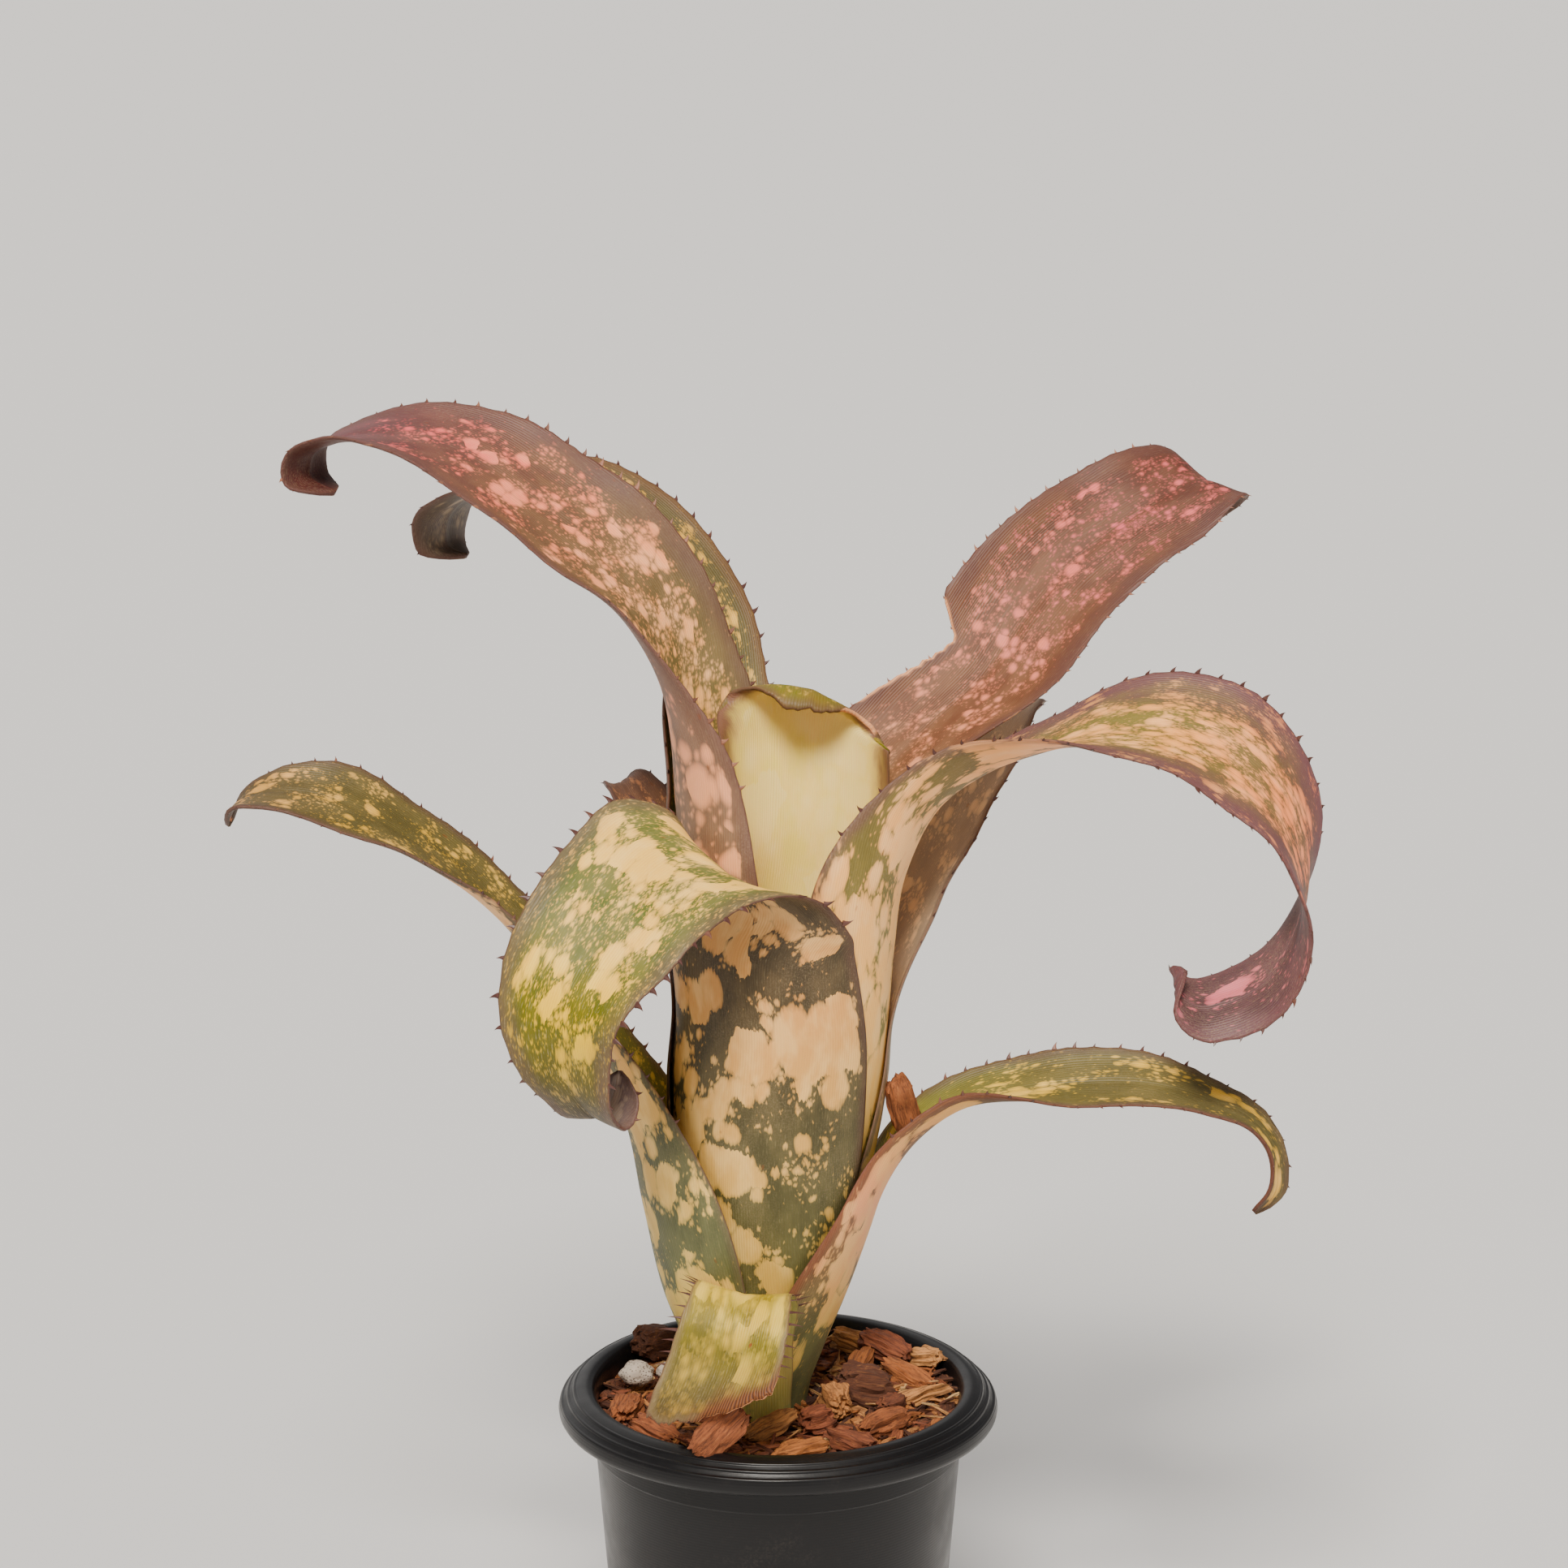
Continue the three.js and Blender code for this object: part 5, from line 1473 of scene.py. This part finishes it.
# Larger chips that show by themselves: x, y, z, length, width, height, turn, tilt, tint
NAMED_CHIPS = [
    (-30.5, 27, 94.5, 11, 8, 8, 50, 15, 0.2), (19, 27, 94.5, 12, 6, 4, -20, 12, 0.9),
    (36, 18, 94, 9, 5, 4, -40, -8, 0.92), (20.5, -0.5, 94.5, 12.5, 9.5, 8, 15, 12, 0.22),
    (13.5, -9.5, 93.5, 8, 6, 8.5, -70, 0, 0.84), (26, 20, 96, 13, 8, 5, -35, 14, 0.45),
    (25, -20, 92.5, 13, 6, 5, 35, -8, 0.6), (-8, 33, 94.5, 14, 7, 6, -15, 8, 0.5),
    (9, -19.5, 93, 7.5, 6, 5.5, 25, -6, 0.5), (-1.5, -22.5, 92.8, 13, 4.6, 3.6, 28, -18, 0.86),
    (-15.5, -35.5, 93.2, 16.5, 7.5, 2.2, 40, 22, 0.5), (-29, -22, 91, 13, 7, 4, -40, 8, 0.55),
    (34, -3, 92.5, 13, 4, 3.4, 20, -14, 0.88), (-36, -9, 91.5, 12, 7, 5, 80, 0, 0.6),
    (17, -29, 91.8, 12, 5, 4, -25, 8, 0.42), (5, -33, 91, 13, 5, 3.4, 20, -6, 0.76),
    (31, 8, 93.2, 12, 5, 4, -30, 16, 0.66), (27, -9, 92.8, 9, 5, 4, 60, 10, 0.36),
    (20, 13, 94.5, 11, 5, 4, 75, -12, 0.7), (-13.5, -43.8, 100, 15, 1.8, 9, 8, -46, 0.56),
]


# Cuts of a larger chip along its length, width and height, and its unevenness in millimetres
CHIP_CUTS = (15, 9, 7)
CHIP_LUMPS = 0.9
CHIP_FIBRES = (0.8, 0.9)
CHIP_ENDS = 2.2
CHIP_ROUNDING = 0.08
CHIP_TAPER = np.array([0.05, 0.32, 0.38])

# Seed of the lumps, which would change from run to run without one
LUMP_SEED = 7


# A point turned in the plane of two of its axes
def turned(p, degrees, a, b):
    c, s = math.cos(degrees * DEG), math.sin(degrees * DEG)
    p = p.copy()
    p[a], p[b] = p[a] * c - p[b] * s, p[a] * s + p[b] * c
    return p


# One larger chip: points, faces, places along its own grain, and tint
def rough_chip(chip, seed):
    x, y, z, length, width, height, turn, tilt, tint = chip
    noise.seed_set(LUMP_SEED)
    points = []
    grain = []
    index = {}
    faces = []

    def corner(i, j, k):
        key = (i, j, k)
        if key not in index:
            t = np.array(key) / CHIP_CUTS * 2 - 1
            size = np.array([length, width, height]) / 2
            p = t * size * (1 - CHIP_ROUNDING * (t[1] ** 2) * (t[2] ** 2) - CHIP_TAPER * abs(t[0]) ** 3)
            fibre = noise.noise(Vector((p[0] / 9, p[1] / 0.8, p[2] / 0.8 + seed * 9)))
            lump = noise.noise_vector(Vector((p[0] / 5 + seed, p[1] / 4, p[2] / 4)))
            split = CHIP_ENDS * noise.noise(Vector((seed * 3.0, p[1] / 0.9, p[2] / 0.9)))
            p = p + np.array(lump[:]) * CHIP_LUMPS
            p = p + [t[0] * abs(t[0]) * split, CHIP_FIBRES[0] * fibre * t[1], CHIP_FIBRES[1] * fibre * t[2]]
            grain.append(p * MM)
            p = turned(turned(p, tilt, 2, 0), turn, 0, 1)
            index[key] = len(points)
            points.append((p + [x, y, z]) * MM)
        return index[key]

    for axis in range(3):
        b, c = [a for a in range(3) if a != axis]
        for end in (0, CHIP_CUTS[axis]):
            for m in range(CHIP_CUTS[b]):
                for n in range(CHIP_CUTS[c]):
                    quad = []
                    for dm, dn in ((0, 0), (1, 0), (1, 1), (0, 1)):
                        at = [0, 0, 0]
                        at[axis] = end
                        at[b] = m + dm
                        at[c] = n + dn
                        quad.append(corner(*at))
                    forward = (end > 0) == (axis != 1)
                    faces.append(tuple(quad if forward else reversed(quad)))
    return points, faces, grain, tint


# One mesh of several chips
def joined(name, parts):
    points, faces, grain, tints = [], [], [], []
    for part_points, part_faces, part_grain, tint in parts:
        base = len(points)
        points += part_points
        faces += [tuple(base + v for v in face) for face in part_faces]
        grain += part_grain
        tints += [tint] * len(part_points)
    mesh = new_mesh(name, points, faces, tint=tints, grain=grain)
    mesh.set_sharp_from_angle(angle=28 * DEG)
    return mesh


# Bark's tones against a chip's tint
BARK_TONES = [
    (0, "3a241c"), (0.25, "5a3a2c"), (0.5, "7e5040"), (0.75, "98694e"), (0.93, "b48e70"), (1, "cdb698"),
]


# Fibrous bark in each chip's own tint
def bark_material():
    material, tree, shader = plain_material("bark_chips")
    grain = read(tree, "grain", "Vector")
    threads = noise_value(tree, stretched(tree, grain, (140, 2200, 2200)), 1.0, 4.0, 0.7)
    patchy = noise_value(tree, own_place(tree), 210.0, 3.0, 0.6)
    body = stops(tree, read(tree, "tint", "Fac"), BARK_TONES, 1)
    dark = mixed(tree, 0.65, body, seen("2a140c"))
    light = mixed(tree, 0.4, body, seen("d0a888"))
    colour = mixed(tree, steps(tree, threads, 0.35, 0.55), dark, body)
    colour = mixed(tree, steps(tree, threads, 0.55, 0.8), colour, light)
    colour = mixed(tree, steps(tree, patchy, 0.3, 0.55, 0.45, 0.0), colour, seen("3a1c10"))
    height = plus(tree, threads, times(tree, patchy, 0.5))
    surface(tree, shader, colour, steps(tree, threads, 0.2, 0.8, 0.75, 0.95), (height, 0.8, 0.0005))
    return material


# Dark crumb between the chips
def bed_material():
    material, tree, shader = plain_material("bark_crumb")
    crumb = noise_value(tree, own_place(tree), 500.0, 4.0, 0.7)
    colour = mixed(tree, steps(tree, crumb, 0.35, 0.7), seen("1f100a"), seen("5d3320"))
    surface(tree, shader, colour, steps(tree, crumb, 0.3, 0.7, 0.8, 0.95), (crumb, 1.0, 0.001))
    return material


# Stone with pores, in pale tones that are darkened as painted shade for stones lying in the leaves' shadow
def pumice_material():
    material, tree, shader = plain_material("pumice")
    where = own_place(tree)
    pores = put(tree, "ShaderNodeTexVoronoi", {"Vector": where, "Scale": 1500.0}).outputs["Distance"]
    cloud = noise_value(tree, where, 350.0, 3.0)
    pit = steps(tree, plus(tree, pores, times(tree, cloud, 0.4)), 0.3, 0.6)
    # Pit and stone tones sit below the stone's own pale grey: painted shade
    colour = mixed(tree, pit, seen("7c7068"), mixed(tree, cloud, seen("a89e94"), seen("c8bfb6")))
    surface(tree, shader, colour, steps(tree, cloud, 0.3, 0.7, 0.8, 0.95), (pit, 0.8, 0.0004))
    return material


# Each stone's centre and half sizes
PUMICE = {"pumice_large": (-34, 6, 94.5, 4.6, 3.6, 3.2), "pumice_small": (-26.5, 8.5, 94, 3, 2.6, 2.4)}
LUMP_RINGS = 28
LUMP_AROUND = 40


# Lump: a ball of rings, squashed and roughened
def lump_mesh(name, x, y, z, rx, ry, rz):
    def point(theta, phi):
        d = Vector((math.sin(theta) * math.cos(phi), math.sin(theta) * math.sin(phi), math.cos(theta)))
        rough = 0.07 * noise.noise(d * 6 + Vector((y, z, x)))
        grow = 0.92 + 0.2 * noise.noise(d * 1.4 + Vector((x, y, z))) + rough
        return ((x + rx * d.x * grow) * MM, (y + ry * d.y * grow) * MM, (z + rz * d.z * grow) * MM)

    points = [point(0, 0)]
    for i in range(1, LUMP_RINGS):
        for k in range(LUMP_AROUND):
            points.append(point(math.pi * i / LUMP_RINGS, 2 * math.pi * k / LUMP_AROUND))
    points.append(point(math.pi, 0))
    last = len(points) - 1
    base = last - LUMP_AROUND
    faces = []
    for k in range(LUMP_AROUND):
        n = (k + 1) % LUMP_AROUND
        faces += [(0, 1 + k, 1 + n), (base + k, last, base + n)]
    for a in range(1, base, LUMP_AROUND):
        faces += band(a, a + LUMP_AROUND, LUMP_AROUND)
    return new_mesh(name, points, faces)


# Pale green stem
def stem_material():
    material, tree, shader = plain_material("stem")
    tone = noise_value(tree, own_place(tree), 240.0, 3.0)
    colour = mixed(tree, tone, seen("8a8450"), seen("b8ac74"))
    surface(tree, shader, colour, steps(tree, tone, 0.3, 0.7, 0.6, 0.8))
    return material


# Every leaf with a material for each side
def build_leaves():
    for seed, name in enumerate(LEAVES):
        mesh = leaf_mesh(name, seed)
        length = float(leaf_stations(LEAVES[name])[1][-1])
        inner = leaf_material(name + "_upper", LOOKS[name][0], length, seed * 1.0)
        outer = leaf_material(name + "_under", LOOKS[name][1], length, seed * 1.0 + 0.5)
        new_piece(name + "_blade", mesh, [inner, outer], [name])


# Chips and threads laid over the bed, in millimetres, and how far they are lifted
LITTER = {
    "bark_chips": (dict(Spacing=3.0, Length=9.0, Width=3.6, Height=2.4, Roughness=2.6), 12, 0.0),
    "bark_threads": (dict(Spacing=2.9, Length=9.0, Width=0.7, Height=0.6, Roughness=1.6), 31, 1.6),
}

# The chip that leaf_right_low holds, and its seed
AXIL_CHIP = (29.4, -4.6, 165, 15, 6.2, 6.6, 10, 76, 0.62)
AXIL_SEED = 21


# Bed, small chips, threads, larger chips and the chip between the leaves
def build_bark():
    material = bark_material()
    new_piece("bark_bed", bed_mesh(), [bed_material()], ["bark"])
    tree = chip_tree()
    for name, (sizes, seed, lift) in LITTER.items():
        values = {key: size * MM for key, size in sizes.items()}
        litter = grown(tree, bed_mesh(closed=False), {**values, "Seed": seed, "Material": material})
        litter.transform(Matrix.Translation((0, 0, lift * MM)))
        litter.name = name
        new_piece(name, litter, [])
    large = joined("bark_chips_large", [rough_chip(chip, k) for k, chip in enumerate(NAMED_CHIPS)])
    new_piece("bark_chips_large", large, [material])
    axil = joined("axil_bark", [rough_chip(AXIL_CHIP, AXIL_SEED)])
    new_piece("axil_bark", axil, [material], ["axil_chip"])


# Two stones on the bark
def build_stones():
    material = pumice_material()
    for name, lump in PUMICE.items():
        new_piece(name + "_stone", lump_mesh(name + "_stone", *lump), [material], [name])


# Studio: a soft high key in front, weak lights at the side and behind, pale surroundings and floor.
# Each lamp: where it shines from, how wide it is in degrees, power and colour
LAMPS = {
    "key": ((-0.12, -0.88, 1.08), 20, 5.0, (1.0, 0.94, 0.86)),
    "side": ((0.9, -0.8, 0.6), 50, 0.4, (1.0, 0.96, 0.92)),
    "back": ((-0.5, 0.9, 0.7), 60, 0.5, (1.0, 0.97, 0.94)),
}
SURROUNDINGS = 0.25
FLOOR_REACH = 30
FLOOR_COLOUR = (0.72, 0.715, 0.71, 1)
FLOOR_ROUGHNESS = 0.9


# Lamps, surroundings and floor
def build_light():
    world = bpy.data.worlds.new("studio")
    bpy.context.scene.world = world
    world.use_nodes = True
    background = world.node_tree.nodes["Background"]
    background.inputs["Color"].default_value = (1, 1, 1, 1)
    background.inputs["Strength"].default_value = SURROUNDINGS
    for name, (towards, spread, power, colour) in LAMPS.items():
        light = bpy.data.lights.new(name, "SUN")
        light.angle = spread * DEG
        light.energy = power
        light.color = colour
        in_scene(name, light).rotation_euler = Vector(towards).to_track_quat("Z", "Y").to_euler()
    far = FLOOR_REACH
    mesh = bpy.data.meshes.new("floor")
    mesh.from_pydata([(-far, -far, 0), (far, -far, 0), (far, far, 0), (-far, far, 0)], [], [(0, 1, 2, 3)])
    material, _, shader = plain_material("floor")
    shader.inputs["Base Color"].default_value = FLOOR_COLOUR
    shader.inputs["Roughness"].default_value = FLOOR_ROUGHNESS
    mesh.materials.append(material)
    in_scene("floor", mesh)


# Camera at the photograph's place, looking along +Y and a little down
CAMERA_PLACE = (0.0014, -0.9343, 0.4679)
CAMERA_DOWN = 13.6
CAMERA_LENS = 95.6
CAMERA_SENSOR = 36
CAMERA_REACH = 100


# Camera of the main view
def build_camera():
    camera = bpy.data.cameras.new("camera")
    camera.lens = CAMERA_LENS
    camera.sensor_width = CAMERA_SENSOR
    camera.clip_end = CAMERA_REACH
    holder = in_scene("camera", camera)
    holder.location = CAMERA_PLACE
    holder.rotation_euler = ((90 - CAMERA_DOWN) * DEG, 0, 0)
    bpy.context.scene.camera = holder


# Whole scene
def main():
    GROUPS["patches"] = patches_group()
    GROUPS["ribs"] = ribs_group()
    GROUPS["frost"] = frost_group()
    GROUPS["blemish"] = blemish_group()
    build_leaves()
    spine_piece()
    pot_piece()
    build_bark()
    build_stones()
    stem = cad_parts["stem_base"]
    stem.data.materials.clear()
    stem.data.materials.append(stem_material())
    build_light()
    build_camera()


main()
